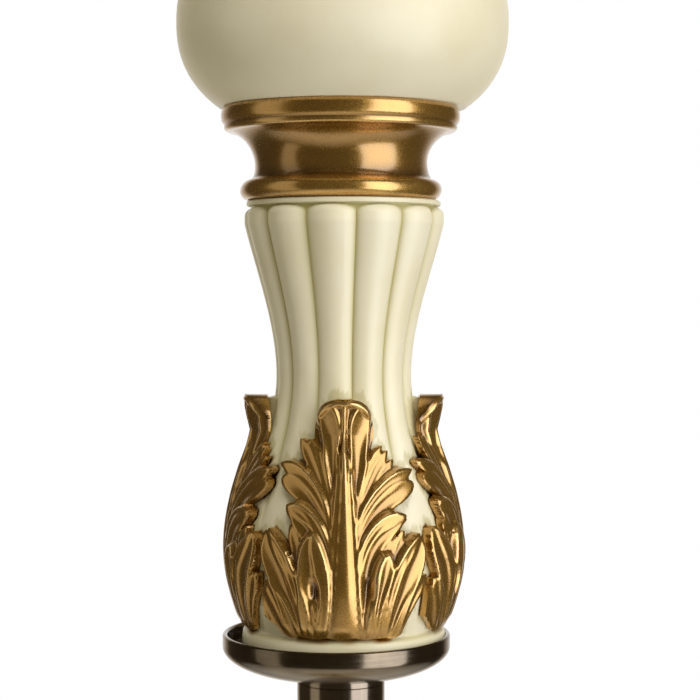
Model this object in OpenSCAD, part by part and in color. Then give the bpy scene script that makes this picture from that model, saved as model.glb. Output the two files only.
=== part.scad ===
// Classical floor lamp: weighted round foot, bronzed column, leaf-cased vase knop, harp and fabric shade.
// The foot stands on z = 0 and the column's axis is the Z axis. The front of the lamp faces -Y.

/* [Foot] */
// Thickness of the felt under the foot
pad_t = 2; // [1:0.5:4]
// Outer radius of the gold foot ring
foot_ring_r = 150; // [140:1:180]
// Height of the gold foot ring
foot_ring_h = 18; // [16:1:24]
// Radius of the cast-iron weight
weight_r = 125; // [90:1:126]
// Height of the cast-iron weight
weight_h = 24; // [22:1:30]
// Height of the cream shell above the foot ring
shell_h = 84; // [70:1:110]
// Wall of the cream shell
shell_wall = 6; // [4:0.5:9]
// Radius of the shell's upper rim
shell_top_r = 38; // [35:1:46]

/* [Column] */
// Outer radius of both tubes
tube_r = 12.5; // [11:0.5:14]
// Wall of both tubes
tube_wall = 1.2; // [0.8:0.1:2]
// Length of the lower tube
lower_tube_l = 470; // [300:5:600]
// Length of the upper tube
upper_tube_l = 300; // [150:5:400]
// Radius of the hollow threaded rod that clamps the column
rod_r = 5; // [4.5:0.1:6]
// Wall of the hollow threaded rod
rod_wall = 1.5; // [1:0.1:1.8]
// Height of each cup that a tube stands in
cup_h = 14; // [12:1:20]
// How deep a tube stands in its cup
cup_seat = 5; // [3:0.5:8]

/* [Dish] */
// Largest radius of the bronzed dish
dish_r = 32.4; // [32:0.1:38]
// Depth of the dish from its rim to the top of its spigot
dish_depth = 13.6; // [11:0.1:18]
// Height of the spigot between dish and tube
spigot_h = 3.9; // [2:0.1:8]
// Sheet thickness of the dish
dish_wall = 1.5; // [1:0.1:1.6]
// How far the dish sits to the left of the rod in its loose hole
dish_play = 1.3; // [0:0.1:1.3]

/* [Vase] */
// Height of the cream vase
vase_h = 126.7; // [110:0.1:160]
// How deep the vase stands in the dish
vase_sink = 4; // [2:0.5:6]
// Radius of the vase's foot
vase_foot_r = 28.7; // [26:0.1:28.8]
// Height of the vase's foot
vase_foot_h = 6; // [4:0.5:9]
// Largest radius of the belly
belly_r = 30.3; // [27:0.1:32]
// Height of the widest place of the belly
belly_z = 26; // [20:1:32]
// Smallest radius of the neck
neck_r = 18.2; // [15:0.1:21]
// Height of the narrowest place of the neck
neck_z = 77.5; // [70:0.5:84]
// Radius of the shoulder, where the reeds end
shoulder_r = 28.4; // [25:0.1:31]
// Height of the shoulder below the vase's top
shoulder_drop = 6.5; // [5:0.5:9]
// Number of reeds around the neck
reeds = 12; // [8:1:16]
// Depth of the grooves between reeds, as a share of the radius
reed_share = 0.075; // [0.03:0.005:0.11]
// How far the vase sits to the right of the rod in its loose hole
vase_play = 0.8; // [0:0.1:1]

/* [Leaves] */
// Height of a leaf on the vase
leaf_h = 64.5; // [50:0.5:70]
// Height of the leaf's root above the vase's bottom
leaf_root = 7.8; // [7:0.1:10]
// Half of the angle that a leaf covers at its widest
leaf_half = 43.5; // [30:0.5:44]
// Turn of the leaves from the front, to the right
leaf_turn = 2; // [-10:0.5:10]
// Thickness of a leaf along its edge
leaf_edge = 1.8; // [1.2:0.1:2.6]
// Stand of the rib above the belly where the leaf is fullest
rib_stand = 3.9; // [3:0.1:5]
// Radius of the cream backing behind the leaf tips
backing_r = 21.6; // [20:0.1:23]

/* [Ball and collars] */
// Largest radius of the cream ball
ball_r = 46.8; // [40:0.2:60]
// Height of the ball between its collars
ball_h = 47; // [36:1:60]
// How far the ball sits to the right of the rod in its loose hole
ball_play = 0.5; // [0:0.1:1]
// Height of a gold collar
collar_h = 26.3; // [24:0.1:32]
// Radius of a collar's broad lip
collar_lip_r = 33.5; // [31:0.1:37]
// Radius of a collar's narrow bead
collar_bead_r = 28.3; // [26:0.1:31]
// Radius of a collar's waist
collar_waist_r = 24.4; // [20:0.1:26]
// Height of the cream neck above the ball
upper_neck_h = 84; // [60:1:120]
// Smallest radius of the cream neck above the ball
upper_neck_r = 16; // [14:0.2:20]
// Radius of the upper end of that neck
upper_end_r = 21; // [19:0.2:24]

/* [Lampholder] */
// Outer radius of the lampholder's shell
socket_r = 16.3; // [16.3:0.1:19]
// Length of the lampholder's shell
socket_l = 54; // [50:1:64]
// Radius of the switch shaft
shaft_r = 1.5; // [1.2:0.1:2]
// Radial clearance of the switch shaft in its bushing
shaft_gap = 0.05; // [0.02:0.01:0.1]
// Length of the turn key's grip
key_l = 14; // [10:1:20]
// Largest radius of the bulb
bulb_r = 30; // [24:1:34]
// Length of the bulb above its metal cap
bulb_l = 84; // [74:1:100]

/* [Shade] */
// Width of the harp
harp_w = 114; // [100:2:130]
// Height of the harp above its saddle
harp_h = 255; // [230:5:300]
// Radius of the harp's wire
harp_wire_r = 1.9; // [1.5:0.1:2.4]
// Height of the fabric shade
shade_h = 280; // [240:5:320]
// Outer radius of the shade at its lower edge
shade_bottom_r = 210; // [180:5:240]
// Outer radius of the shade at its upper edge
shade_top_r = 112; // [100:2:130]
// Thickness of the shade's lined fabric
fabric_t = 1; // [0.8:0.1:2]
// How far the shade's upper ring stands above the spider's hub
hub_recess = 12; // [6:1:20]
// Radius of the shade's wire rings
ring_wire_r = 1.6; // [1.2:0.1:2.2]
// Width of the braid along each edge of the shade
trim_w = 14; // [8:1:24]
// Thickness of the braid
trim_t = 1.6; // [1:0.1:2.4]
// Height of the finial
finial_h = 44; // [34:1:60]

/* [Hidden] */
$fn = 96;

// Clearances: between seated pieces, around the rod, of the loose castings around the rod, of a skin on what it
// lies on, and of a leaf on what carries it, a little more because its back is made of flat facets
seat_gap = 0.15;
rod_gap = 0.3;
loose_gap = 1.8;
skin_gap = 0.3;
leaf_gap = 0.6;

// Finishes
cream = "#E4DFBA";
gold = "#A8782F";
bronze = "#4A3A2A";
brass = "#B08D4A";
steel = "#8C8C8C";
iron = "#3C3C3E";
black = "#202020";
linen = "#E9DFC4";

// Heights of the stacked pieces, from the floor upwards
weight_z = pad_t;
shell_z = pad_t + foot_ring_h;
shell_top_z = shell_z + shell_h;
base_cup_z = shell_top_z + collar_h;
lower_tube_z = base_cup_z + cup_h - cup_seat;
dish_z = lower_tube_z + lower_tube_l;
rim_z = dish_z + spigot_h + dish_depth;
vase_z = rim_z - vase_sink;
lower_collar_z = vase_z + vase_h;
ball_z = lower_collar_z + collar_h;
upper_collar_z = ball_z + ball_h;
upper_neck_z = upper_collar_z + collar_h;
upper_cup_z = upper_neck_z + upper_neck_h;
upper_tube_z = upper_cup_z + cup_h - cup_seat;
top_cup_z = upper_tube_z + upper_tube_l - cup_seat;
saddle_z = top_cup_z + cup_h;

// Foot: shell outline, iron weight and cable entry
shell_edge_r = foot_ring_r - 12;
shell_edge_h = 4;
ovolo_w = 44;
ovolo_h = 20;
step_h = 3;
cove_z = shell_z + shell_edge_h + ovolo_h + step_h;
cove_r = shell_edge_r - 2 - ovolo_w - 4;
shell_rim_h = 6;
cove_w = cove_r - shell_top_r;
cove_h = shell_top_z - shell_rim_h - cove_z;
pillar_r = 15;
ring_inner_r = weight_r + seat_gap;
recess_r = 24;
web_h = 6;
channel_w = 8;
channel_h = 12;
gland_z = pad_t + 8;
gland_r = 4.4;
gland_bore_r = 3.2;
flange_r = 6;
flange_t = 2.5;
flange_stand = 0.3;

// Rod, washer and nuts
washer_r = 16;
washer_t = 1.6;
nut_r = 9.8;
nut_h = 6;
washer_z = weight_z + weight_h - web_h - washer_t;
rod_z = washer_z - nut_h;
saddle_t = 1.6;
top_nut_z = saddle_z + saddle_t;
socket_z = top_nut_z + nut_h;
rod_top_z = socket_z + 6;
plug_l = 10;
lead_r = 2.5;
lead_entry = 4;
lead_bend_r = 8;

// Leaf outline: place along the leaf, and half width as a share of the widest
lobes = [
    [0.00, 0.43], [0.06, 0.62], [0.16, 0.83], [0.26, 0.98], [0.36, 1.00], [0.43, 0.96], [0.45, 0.78],
    [0.50, 0.77], [0.535, 0.62], [0.57, 0.70], [0.63, 0.91], [0.70, 0.92], [0.725, 0.75], [0.79, 0.68],
    [0.81, 0.48], [0.87, 0.45], [0.93, 0.38], [0.98, 0.20], [1.00, 0.07]
];
// Places across a leaf, closer together at the rib
across = [-1, -0.75, -0.45, -0.2, -0.09, 0, 0.09, 0.2, 0.45, 0.75, 1];
front = 0;
right = 90;
back = 180;
left = 270;

// Vase outline and the places of its reeds
reed_turn = -7.5;
reed_steps = 6;
reed_rows = 22;
foot_waist_r = vase_foot_r - 1.6;
foot_step = 0.5;
shoulder_z = vase_h - shoulder_drop;
lip_h = 2.4;
lip_r = shoulder_r - 0.8;
groove_r = shoulder_r - 2.2;
leaf_tip_z = leaf_root + leaf_h;
tip_swell = 2.2;

// Lampholder
cap_r = socket_r + 1.1;
cap_h = 20;
cap_floor = 8;
shell_socket_z = socket_z + cap_floor;
liner_r = socket_r - 0.5;
switch_r = liner_r - 0.7;
switch_h = 18;
switch_z = shell_socket_z;
screw_r = 14.4;
screw_wall = 0.7;
screw_l = 25;
contact_t = 1.2;
contact_z = switch_z + switch_h;
bulb_cap_r = screw_r - screw_wall - 0.3;
bulb_cap_l = 26;
bulb_cap_z = contact_z + contact_t;
shaft_z = switch_z + switch_h / 2;
bushing_r = 3.4;
bushing_end = socket_r + 7;
key_start = bushing_end + 1;
key_r = 6;

// Shade and harp
harp_foot = 29;
harp_sleeve_r = 3.2;
harp_sleeve_h = 12;
harp_bend_r = 20;
harp_lean = 20;
harp_top_z = saddle_z + saddle_t + harp_h;
stud_r = 3;
stud_seat_r = 6;
stud_seat_h = 3;
hub_z = harp_top_z + harp_wire_r + stud_seat_h;
hub_r = 11;
hub_t = 1.6;
shade_top_z = hub_z + hub_recess;
shade_bottom_z = shade_top_z - shade_h;
finial_z = hub_z + hub_t;
spider_arm_r = 1.5;

// Half a cosine-like swell from 0 to 1, with an end slope
function swell(t, slope = 0) = 3 * t * t - 2 * t * t * t + slope * (t * t * t - t * t);
// Points on an ellipse from one angle to another
function bow(x, z, a, b, from, to, n = 12) =
    [for (i = [0:n]) let (w = from + (to - from) * i / n) [x + a * cos(w), z + b * sin(w)]];

// Radius of the vase's crests at height z
function crest(z) =
    z <= vase_foot_h ? vase_foot_r :
    z <= belly_z ? foot_waist_r + (belly_r - foot_waist_r) * sin(90 * (z - vase_foot_h) / (belly_z - vase_foot_h)) :
    z <= neck_z ? belly_r + (neck_r - belly_r) * swell((z - belly_z) / (neck_z - belly_z)) :
    z <= shoulder_z ? neck_r + (shoulder_r - neck_r) * swell((z - neck_z) / (shoulder_z - neck_z), 1.15) :
    shoulder_r;
// Share of the full groove depth at height z: none on the belly, full from the neck upwards
function reed_fade(z) = swell(min(1, max(0, (z - belly_z) / (neck_z - 12 - belly_z))));
// Depth of the groove at an angle from a reed's centre: none on the crest, sharp at the joint of two reeds
function reed_dip(angle, count) = 1 - pow(abs(cos(angle * count / 2)), 0.75);
// Radius of the surface that carries the leaves
function carrier(z) = max(crest(z), z < leaf_tip_z ? backing_r : 0);
// Nearness to a leaf's middle, from 1 to 0 at the edge of the backing
function backing(angle) = let (d = abs(((angle - leaf_turn + 45) % 90 + 90) % 90 - 45)) max(0, 1 - pow(d / 17, 4));
// Radius of the vase at an angle and height
function vase_r(angle, z) =
    let (body = crest(z) * (1 - reed_share * reed_fade(z) * reed_dip(angle - reed_turn, reeds)))
    max(body, z < leaf_tip_z - 1 && z > belly_z ? backing_r * backing(angle) : 0);

// Radius of the rib's ridge at height z above the vase's bottom
function rib_r(z) =
    let (v = (z - leaf_root) / leaf_h)
    carrier(z) + leaf_edge + (rib_stand - leaf_edge) * sin(180 * min(0.5, v * 1.6))
    + tip_swell * pow(max(0, (v - 0.55) / 0.45), 1.5) * 0.9;

// Triangles between two rings of points that each hold n points, row by row
function strips(rows, n) = [
    for (j = [0:rows - 2], i = [0:n - 1]) let (a = j * n + i, b = j * n + (i + 1) % n)
    each [[a, b, b + n], [a, b + n, a + n]]
];
// Fans that close the first and last ring of a stack of rings
function ends(rows, n) = concat(
    [for (i = [1:n - 2]) [0, i + 1, i]],
    [for (i = [1:n - 2]) [(rows - 1) * n, (rows - 1) * n + i, (rows - 1) * n + i + 1]]
);
// A closed solid from rings of points, each ring counter-clockwise from above and each higher than the last
module stacked(rings) {
    n = len(rings[0]);
    polyhedron(
        points = [for (ring = rings) each ring],
        faces = [for (f = concat(strips(len(rings), n), ends(len(rings), n))) [f[0], f[2], f[1]]]
    );
}
// A turned solid from its outline
module turned(outline) rotate_extrude() polygon(outline);
// A hole or a rod along Z
module round(r, z0, z1) translate([0, 0, z0]) cylinder(r = r, h = z1 - z0);
// A ring with a round bore
module ring(outer, inner, z0, z1) difference() {
    round(outer, z0, z1);
    round(inner, z0 - 1, z1 + 1);
}
// A straight bar between two points
module bar(p, q, r) {
    d = q - p;
    translate(p) rotate([0, acos(d.z / norm(d)), atan2(d.y, d.x)]) cylinder(r = r, h = norm(d));
}
// A round wire with eight sides along a path of [y, z] places in the YZ plane
module wire(path, r) {
    last = len(path) - 1;
    function wire_ring_at(i) =
        let (ahead = path[min(last, i + 1)] - path[max(0, i - 1)], side = [ahead.y, -ahead.x] / norm(ahead))
        [for (w = [0:45:315]) [r * cos(w), path[i].x + side.x * r * sin(w), path[i].y + side.y * r * sin(w)]];
    stacked([for (i = [0:last]) wire_ring_at(i)]);
}

// Felt under the foot
module felt_pad() color("#2E4434") round(foot_ring_r - 4, 0, pad_t);

// Cast-iron weight with its nut recess and the channel of the lead
module base_weight() color(iron) difference() {
    round(weight_r, weight_z, weight_z + weight_h);
    round(rod_r + rod_gap, 0, shell_top_z);
    round(recess_r, weight_z - 1, weight_z + weight_h - web_h);
    translate([-channel_w / 2, 0, weight_z - 1]) cube([channel_w, weight_r + 1, channel_h + 1]);
}

// Gold ring around the weight, with the hole of the cable gland at the back
module foot_ring() color(gold) difference() {
    turned(concat(
        [[ring_inner_r, pad_t], [foot_ring_r - 5, pad_t]],
        bow(foot_ring_r - 8, pad_t + 8, 8, 8, -60, 90),
        [[shell_edge_r + 1.5, pad_t + 16], [shell_edge_r + 1.5, shell_z], [ring_inner_r, shell_z]]
    ));
    translate([0, weight_r - 5, gland_z]) rotate([-90, 0, 0]) cylinder(r = gland_r + seat_gap, h = foot_ring_r);
}

// Outline of the shell's outside, inwards and upwards from its lower edge
function shell_outside() = concat(
    [[shell_edge_r, shell_z], [shell_edge_r, shell_z + shell_edge_h - 1], [shell_edge_r - 2, shell_z + shell_edge_h]],
    bow(shell_edge_r - 2 - ovolo_w, shell_z + shell_edge_h, ovolo_w, ovolo_h, 8, 90),
    [[cove_r + 2, cove_z - step_h], [cove_r, cove_z]],
    bow(cove_r, cove_z + cove_h, cove_w, cove_h, -98, -180),
    [[shell_top_r, shell_top_z - 1], [shell_top_r - 1, shell_top_z]]
);
// Cream bell-shaped shell that stands on the foot ring and, by its pillar, on the weight
module base_shell() color(cream) difference() {
    turned(concat(shell_outside(), [[0, shell_top_z], [0, weight_z + weight_h], [ring_inner_r + 2, weight_z + weight_h],
        [ring_inner_r + 2, shell_z]]));
    turned(concat(
        [[pillar_r, weight_z + weight_h - 1], [shell_edge_r - shell_wall - 6, weight_z + weight_h - 1]],
        bow(shell_edge_r - 2 - ovolo_w - 4, shell_z + shell_edge_h, ovolo_w - 6, ovolo_h - shell_wall, 10, 90),
        bow(cove_r - shell_wall, cove_z + cove_h, cove_w, cove_h, -98, -165),
        [[pillar_r, shell_top_z - 16]]
    ));
    round(rod_r + rod_gap, 0, shell_top_z + 1);
}

// A leaf from its rows: each row is [back radius, back height, normal, edge thickness, rib thickness, half angle]
module leaf(rows) {
    m = len(across);
    // Stand of the front over the back: a narrow ridge on a low arch
    function stand(u, row) = row[3] + (row[4] - row[3]) * (0.5 * (1 - abs(u)) + 0.5 * exp(-pow(u / 0.14, 2)));
    function place(r, z, w) = [r * sin(w), -r * cos(w), z];
    function ring_of(row) = concat(
        [for (u = across) let (t = stand(u, row)) place(row[0] + row[2].x * t, row[1] + row[2].y * t, u * row[5])],
        [for (i = [m - 1:-1:0]) place(row[0], row[1], across[i] * row[5])]
    );
    stacked([for (row = rows) ring_of(row)]);
}
// Rows of a leaf on the vase
function vase_leaf_rows() = [for (lobe = lobes)
    let (z = leaf_root + lobe[0] * leaf_h, b = carrier(z) + leaf_gap)
    [b, z, [1, 0], leaf_edge, rib_r(z) - b, lobe[1] * leaf_half]];
module vase_leaf(side) color(gold) translate([vase_play, 0, vase_z]) rotate([0, 0, leaf_turn + side])
    leaf(vase_leaf_rows());

// Rows of a leaf that lies in the cove of the base shell
base_leaf_half = 31;
base_leaf_rib = 5.5;
base_leaf_edge = 2.4;
function base_leaf_rows() = [for (lobe = lobes)
    let (
        w = 10 + 70 * lobe[0],
        away = [sin(w), cos(w)],
        r = cove_r - cove_w * sin(w) + away.x * leaf_gap,
        z = cove_z + cove_h * (1 - cos(w)) + away.y * leaf_gap
    )
    [r, z, away, base_leaf_edge, base_leaf_rib, lobe[1] * base_leaf_half]];
module base_leaf(side) color(gold) rotate([0, 0, side]) leaf(base_leaf_rows());

// Outline of a gold collar with its broad lip on top: bead, cove and lip
cove_arc = collar_lip_r + 0.5 - collar_waist_r;
function collar_outline() = concat(
    [[rod_r + rod_gap, 0], [collar_bead_r - 2, 0]],
    bow(collar_bead_r - 2.6, 2.6, 2.6, 2.6, -60, 60, 8),
    bow(collar_lip_r + 0.5, collar_h - 16.1, cove_arc, cove_arc, -160, -270 + 16, 14),
    [[collar_lip_r - 0.8, collar_h - 6.2]],
    [[collar_lip_r, collar_h - 5.4], [collar_lip_r - 0.3, collar_h - 3], [collar_lip_r, collar_h - 1],
        [collar_lip_r - 0.8, collar_h], [rod_r + rod_gap, collar_h]]
);
module collar() color(gold) turned(collar_outline());
module base_collar() translate([0, 0, shell_top_z + collar_h]) mirror([0, 0, 1]) collar();
module lower_collar() translate([0, 0, lower_collar_z]) collar();
module upper_collar() translate([0, 0, upper_collar_z + collar_h]) mirror([0, 0, 1]) collar();

// A bronzed cup that carries the end of a tube, standing on its broad face
module tube_cup(broad) color(bronze) difference() {
    turned(concat(
        [[rod_r + rod_gap, 0], [broad - 1, 0], [broad, 1], [broad, 2.5], [broad - 1, 3.2]],
        bow(broad - 0.5, cup_h - 2, broad - tube_r - 2, cup_h - 5.5, -95, -175, 10),
        bow(tube_r + 1.2, cup_h - 1.2, 1.2, 1.2, -60, 90, 6),
        [[rod_r + rod_gap, cup_h]]
    ));
    round(tube_r + seat_gap, cup_h - cup_seat, cup_h + 1);
}
module base_cup() translate([0, 0, base_cup_z]) tube_cup(collar_bead_r - 3);
module upper_cup() translate([0, 0, upper_cup_z]) tube_cup(upper_end_r - 1);
module top_cup() translate([0, 0, saddle_z]) mirror([0, 0, 1]) tube_cup(26);

// Plastic gland through the back of the foot ring
module cable_gland() color(black) translate([0, 0, gland_z]) rotate([-90, 0, 0]) difference() {
    union() {
        round(gland_r, weight_r + seat_gap, foot_ring_r + flange_stand + 0.2);
        round(flange_r, foot_ring_r + flange_stand, foot_ring_r + flange_stand + flange_t);
    }
    round(gland_bore_r, weight_r - 1, foot_ring_r + 10);
}

// Hollow threaded rod, its washer under the weight, and its nuts at both ends
module centre_rod() color(steel) ring(rod_r, rod_r - rod_wall, rod_z, rod_top_z);
module rod_washer() color(steel) ring(washer_r, rod_r + seat_gap, washer_z, washer_z + washer_t);
module rod_nuts() color(steel) for (z = [rod_z, top_nut_z]) difference() {
    translate([0, 0, z]) cylinder(r = nut_r, h = nut_h, $fn = 6);
    round(rod_r + 0.05, z - 1, z + nut_h + 1);
}

// Bronzed tubes, and the plugs that centre them on the rod
module lower_tube() color(bronze) ring(tube_r, tube_r - tube_wall, lower_tube_z, lower_tube_z + lower_tube_l);
module upper_tube() color(bronze) ring(tube_r, tube_r - tube_wall, upper_tube_z, upper_tube_z + upper_tube_l);
module tube_plugs() color(black)
    for (z = [lower_tube_z, dish_z - plug_l, upper_tube_z, upper_tube_z + upper_tube_l - plug_l])
        ring(tube_r - tube_wall - seat_gap, rod_r + seat_gap, z, z + plug_l);

// Spun bronzed dish with its spigot, and the spacer that carries the vase inside it
dish_bottom_r = dish_r - 22.4;
dish_swell = dish_depth - 3;
lip_bead = dish_wall / 2;
module lower_dish() color(bronze) translate([-dish_play, 0, rim_z]) difference() {
    turned(concat(
        [[0, -dish_depth - spigot_h], [tube_r, -dish_depth - spigot_h], [tube_r, -dish_depth]],
        bow(dish_bottom_r, -3, dish_r - dish_bottom_r, dish_swell, -82, 0, 16),
        bow(dish_r - lip_bead, 0, lip_bead, lip_bead, 0, 180, 8),
        bow(dish_bottom_r, -3, dish_r - dish_wall - dish_bottom_r, dish_swell - dish_wall, 0, -80, 16),
        [[0, -dish_depth + dish_wall]]
    ));
    round(rod_r + loose_gap, -dish_depth - spigot_h - 1, 1);
}
module dish_spacer() color(black)
    ring(rod_r + 8, rod_r + rod_gap, rim_z - dish_depth + dish_wall + skin_gap, vase_z);

// Cream vase: foot, leaf-cased belly, reeded neck and lip
vase_rows = concat(
    [0, vase_foot_h - 1, vase_foot_h, vase_foot_h + foot_step],
    [for (k = [1:reed_rows]) vase_foot_h + (shoulder_z - vase_foot_h) * k / reed_rows]
);
function vase_ring(z) = [for (i = [0:reeds * reed_steps - 1])
    let (w = reed_turn + i * 360 / (reeds * reed_steps), r = vase_r(w, z)) [r * sin(w), -r * cos(w), z]];
// Ring that closes the reeds: from shoulder to groove, then a plain lip
function plain_ring(r, z) = [for (i = [0:reeds * reed_steps - 1])
    let (w = reed_turn + i * 360 / (reeds * reed_steps)) [r * sin(w), -r * cos(w), z]];
module vase() color(cream) translate([vase_play, 0, vase_z]) difference() {
    stacked(concat(
        [for (z = vase_rows) vase_ring(z)],
        [plain_ring(groove_r + 1, shoulder_z + 2.2), plain_ring(groove_r, vase_h - lip_h - 1),
            plain_ring(lip_r, vase_h - lip_h), plain_ring(lip_r, vase_h)]
    ));
    round(rod_r + loose_gap, -1, vase_h + 1);
}

// Cream ball: the middle of a round form that is a little fuller than an ellipsoid
ball_half = ball_h / 2 + 8.5;
ball_fullness = 2.3;
ball_steps = 28;
function ball_radius(z) = ball_r * pow(1 - pow(abs(z) / ball_half, ball_fullness), 1 / ball_fullness);
module ball() color(cream) translate([ball_play, 0, ball_z + ball_h / 2]) difference() {
    turned(concat(
        [[0, -ball_h / 2]],
        [for (i = [0:ball_steps]) let (z = ball_h / 2 * sin(-90 + 180 * i / ball_steps)) [ball_radius(z), z]],
        [[0, ball_h / 2]]
    ));
    round(rod_r + loose_gap, -ball_h, ball_h);
}

// Cream reeded neck above the ball
neck_rows = 12;
neck_lip_h = 3;
neck_waist_z = upper_neck_h * 0.78;
neck_end_z = upper_neck_h - 5;
function neck_crest(z) =
    z < neck_waist_z
    ? shoulder_r + (upper_neck_r - shoulder_r) * swell((z - neck_lip_h - 3) / (neck_waist_z - neck_lip_h - 3), -0.8)
    : upper_neck_r + (upper_end_r - 1.5 - upper_neck_r) * swell((z - neck_waist_z) / (neck_end_z - neck_waist_z), 1);
function neck_ring(z) = [for (i = [0:reeds * reed_steps - 1])
    let (w = reed_turn + i * 360 / (reeds * reed_steps),
        r = neck_crest(z) * (1 - reed_share * reed_dip(w - reed_turn, reeds)))
    [r * sin(w), -r * cos(w), z]];
module upper_neck() color(cream) translate([0, 0, upper_neck_z]) difference() {
    stacked(concat(
        [plain_ring(lip_r, 0), plain_ring(lip_r, neck_lip_h - 0.8), plain_ring(groove_r, neck_lip_h)],
        [for (k = [0:neck_rows]) neck_ring(neck_lip_h + 3 + (neck_end_z - neck_lip_h - 3) * k / neck_rows)],
        [plain_ring(upper_end_r - 2, neck_end_z + 1.2), plain_ring(upper_end_r, neck_end_z + 2),
            plain_ring(upper_end_r, upper_neck_h)]
    ));
    round(rod_r + rod_gap, -1, upper_neck_h + 1);
}

// Lead that the lamp holds from its gland to the lampholder: places [y, z] along its middle
lead_low = lead_r + 0.3;
lead_route = concat(
    [[foot_ring_r + flange_stand + flange_t, gland_z], [60, gland_z], [30, gland_z], [20, gland_z - 2]],
    [[14, weight_z + lead_low + 0.4]],
    [for (w = [-90:-18:-180]) [lead_bend_r, weight_z + lead_low + lead_bend_r] + lead_bend_r * [cos(w), sin(w)]],
    [[0, 200], [0, socket_z], [0, switch_z + lead_entry - seat_gap]]
);
module internal_lead() color(black) wire(lead_route, lead_r);

// Saddle of the harp, with a sleeve at each end
module harp_saddle() color(brass) difference() {
    union() {
        translate([-harp_foot, -7, saddle_z]) cube([2 * harp_foot, 14, saddle_t]);
        for (x = [-harp_foot, harp_foot]) translate([x, 0, 0]) round(harp_sleeve_r + 0.6, saddle_z, saddle_z + harp_sleeve_h);
    }
    round(rod_r + seat_gap, saddle_z - 1, saddle_z + saddle_t + 1);
    for (x = [-harp_foot, harp_foot]) translate([x, 0, 0])
        round(harp_wire_r + seat_gap, saddle_z + saddle_t, saddle_z + harp_sleeve_h + 1);
}

// Harp: two bent legs, a round top and the stud of the finial
harp_r = harp_w / 2;
leg_z = saddle_z + harp_sleeve_h + 6;
leg_run = (harp_r - harp_foot - 2 * harp_bend_r * (1 - cos(harp_lean))) / sin(harp_lean);
lean_start = [harp_foot + harp_bend_r * (1 - cos(harp_lean)), leg_z + harp_bend_r * sin(harp_lean)];
lean_end = lean_start + leg_run * [sin(harp_lean), cos(harp_lean)];
upper_bend = lean_end + harp_bend_r * [-cos(harp_lean), sin(harp_lean)];
leg_path = concat(
    [[harp_foot, saddle_z + saddle_t]],
    [for (w = [180:-5:180 - harp_lean]) [harp_foot + harp_bend_r, leg_z] + harp_bend_r * [cos(w), sin(w)]],
    [for (w = [-harp_lean:5:0]) upper_bend + harp_bend_r * [cos(w), sin(w)]],
    [for (w = [0:10:80]) [0, harp_top_z - harp_r] + harp_r * [cos(w), sin(w)]]
);
module harp() color(brass) {
    rotate([0, 0, -90]) wire(concat(
        [for (p = leg_path) [-p.x, p.y]],
        [[0, harp_top_z]],
        [for (i = [len(leg_path) - 1:-1:0]) leg_path[i]]
    ), harp_wire_r);
    round(stud_seat_r, harp_top_z, hub_z);
    round(stud_r, harp_top_z, finial_z + 14);
}

// Lampholder: cap, shell, paper liner, switch block, screw shell and centre contact
module socket_cap() color(brass) difference() {
    turned(concat(
        [[0, socket_z], [8.5, socket_z], [8.5, socket_z + 3]],
        bow(8.5, socket_z + 12, cap_r - 8.5, 9, -80, 0, 8),
        [[cap_r, socket_z + cap_h], [0, socket_z + cap_h]]
    ));
    round(socket_r + seat_gap, socket_z + cap_floor, socket_z + cap_h + 1);
    round(rod_r + 0.05, socket_z - 1, socket_z + cap_h);
    key_hole(5.5);
}
module socket_shell() color(brass) difference() {
    ring(socket_r, socket_r - 0.4, shell_socket_z, shell_socket_z + socket_l);
    key_hole(bushing_r + seat_gap);
}
module socket_liner() color("#8A6A48") difference() {
    ring(liner_r, liner_r - 0.5, shell_socket_z, shell_socket_z + socket_l - 4);
    key_hole(bushing_r + seat_gap);
}
module switch_body() color(black) difference() {
    round(switch_r, switch_z, switch_z + switch_h);
    translate([0, 0, shaft_z]) rotate([90, 0, 0]) cylinder(r = shaft_r + 0.4, h = socket_r * 2);
    translate([0, 0, shaft_z]) rotate([90, 0, 0]) translate([0, 0, switch_r - 4]) cylinder(r = bushing_r + seat_gap, h = 20);
    round(lead_r + 1, switch_z - 1, switch_z + lead_entry);
}
module thread_shell() color(brass)
    ring(screw_r, screw_r - screw_wall, contact_z, contact_z + screw_l);
module centre_contact() color(brass) round(5, contact_z, contact_z + contact_t);

// A round hole for the switch bushing, towards the front
module key_hole(r) translate([0, 0, shaft_z]) rotate([90, 0, 0]) cylinder(r = r, h = 2 * cap_r);
// A round bar along the switch's axis, between two distances from the column's axis
module key_round(r, from, to, fn = 48) translate([0, 0, shaft_z]) rotate([90, 0, 0])
    translate([0, 0, from]) cylinder(r = r, h = to - from, $fn = fn);

// Bushing, shaft and turn key of the switch
module switch_bushing() color(brass) difference() {
    key_round(bushing_r, switch_r - 3.6, bushing_end);
    key_round(shaft_r + shaft_gap, 0, bushing_end + 1);
}
module switch_shaft() color(brass) key_round(shaft_r, 4, key_start + 6);
module switch_knob() color("#1C1A18") difference() {
    union() {
        key_round(key_r * 0.7, key_start, key_start + 6);
        intersection() {
            key_round(key_r + 2, key_start + 4, key_start + key_l, 64);
            translate([-key_r - 3, -key_start - key_l - 1, shaft_z - 2]) cube([2 * key_r + 6, key_l + 1, 4]);
        }
    }
    key_round(shaft_r + 0.02, key_start - 1, key_start + 6.02);
}

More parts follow.
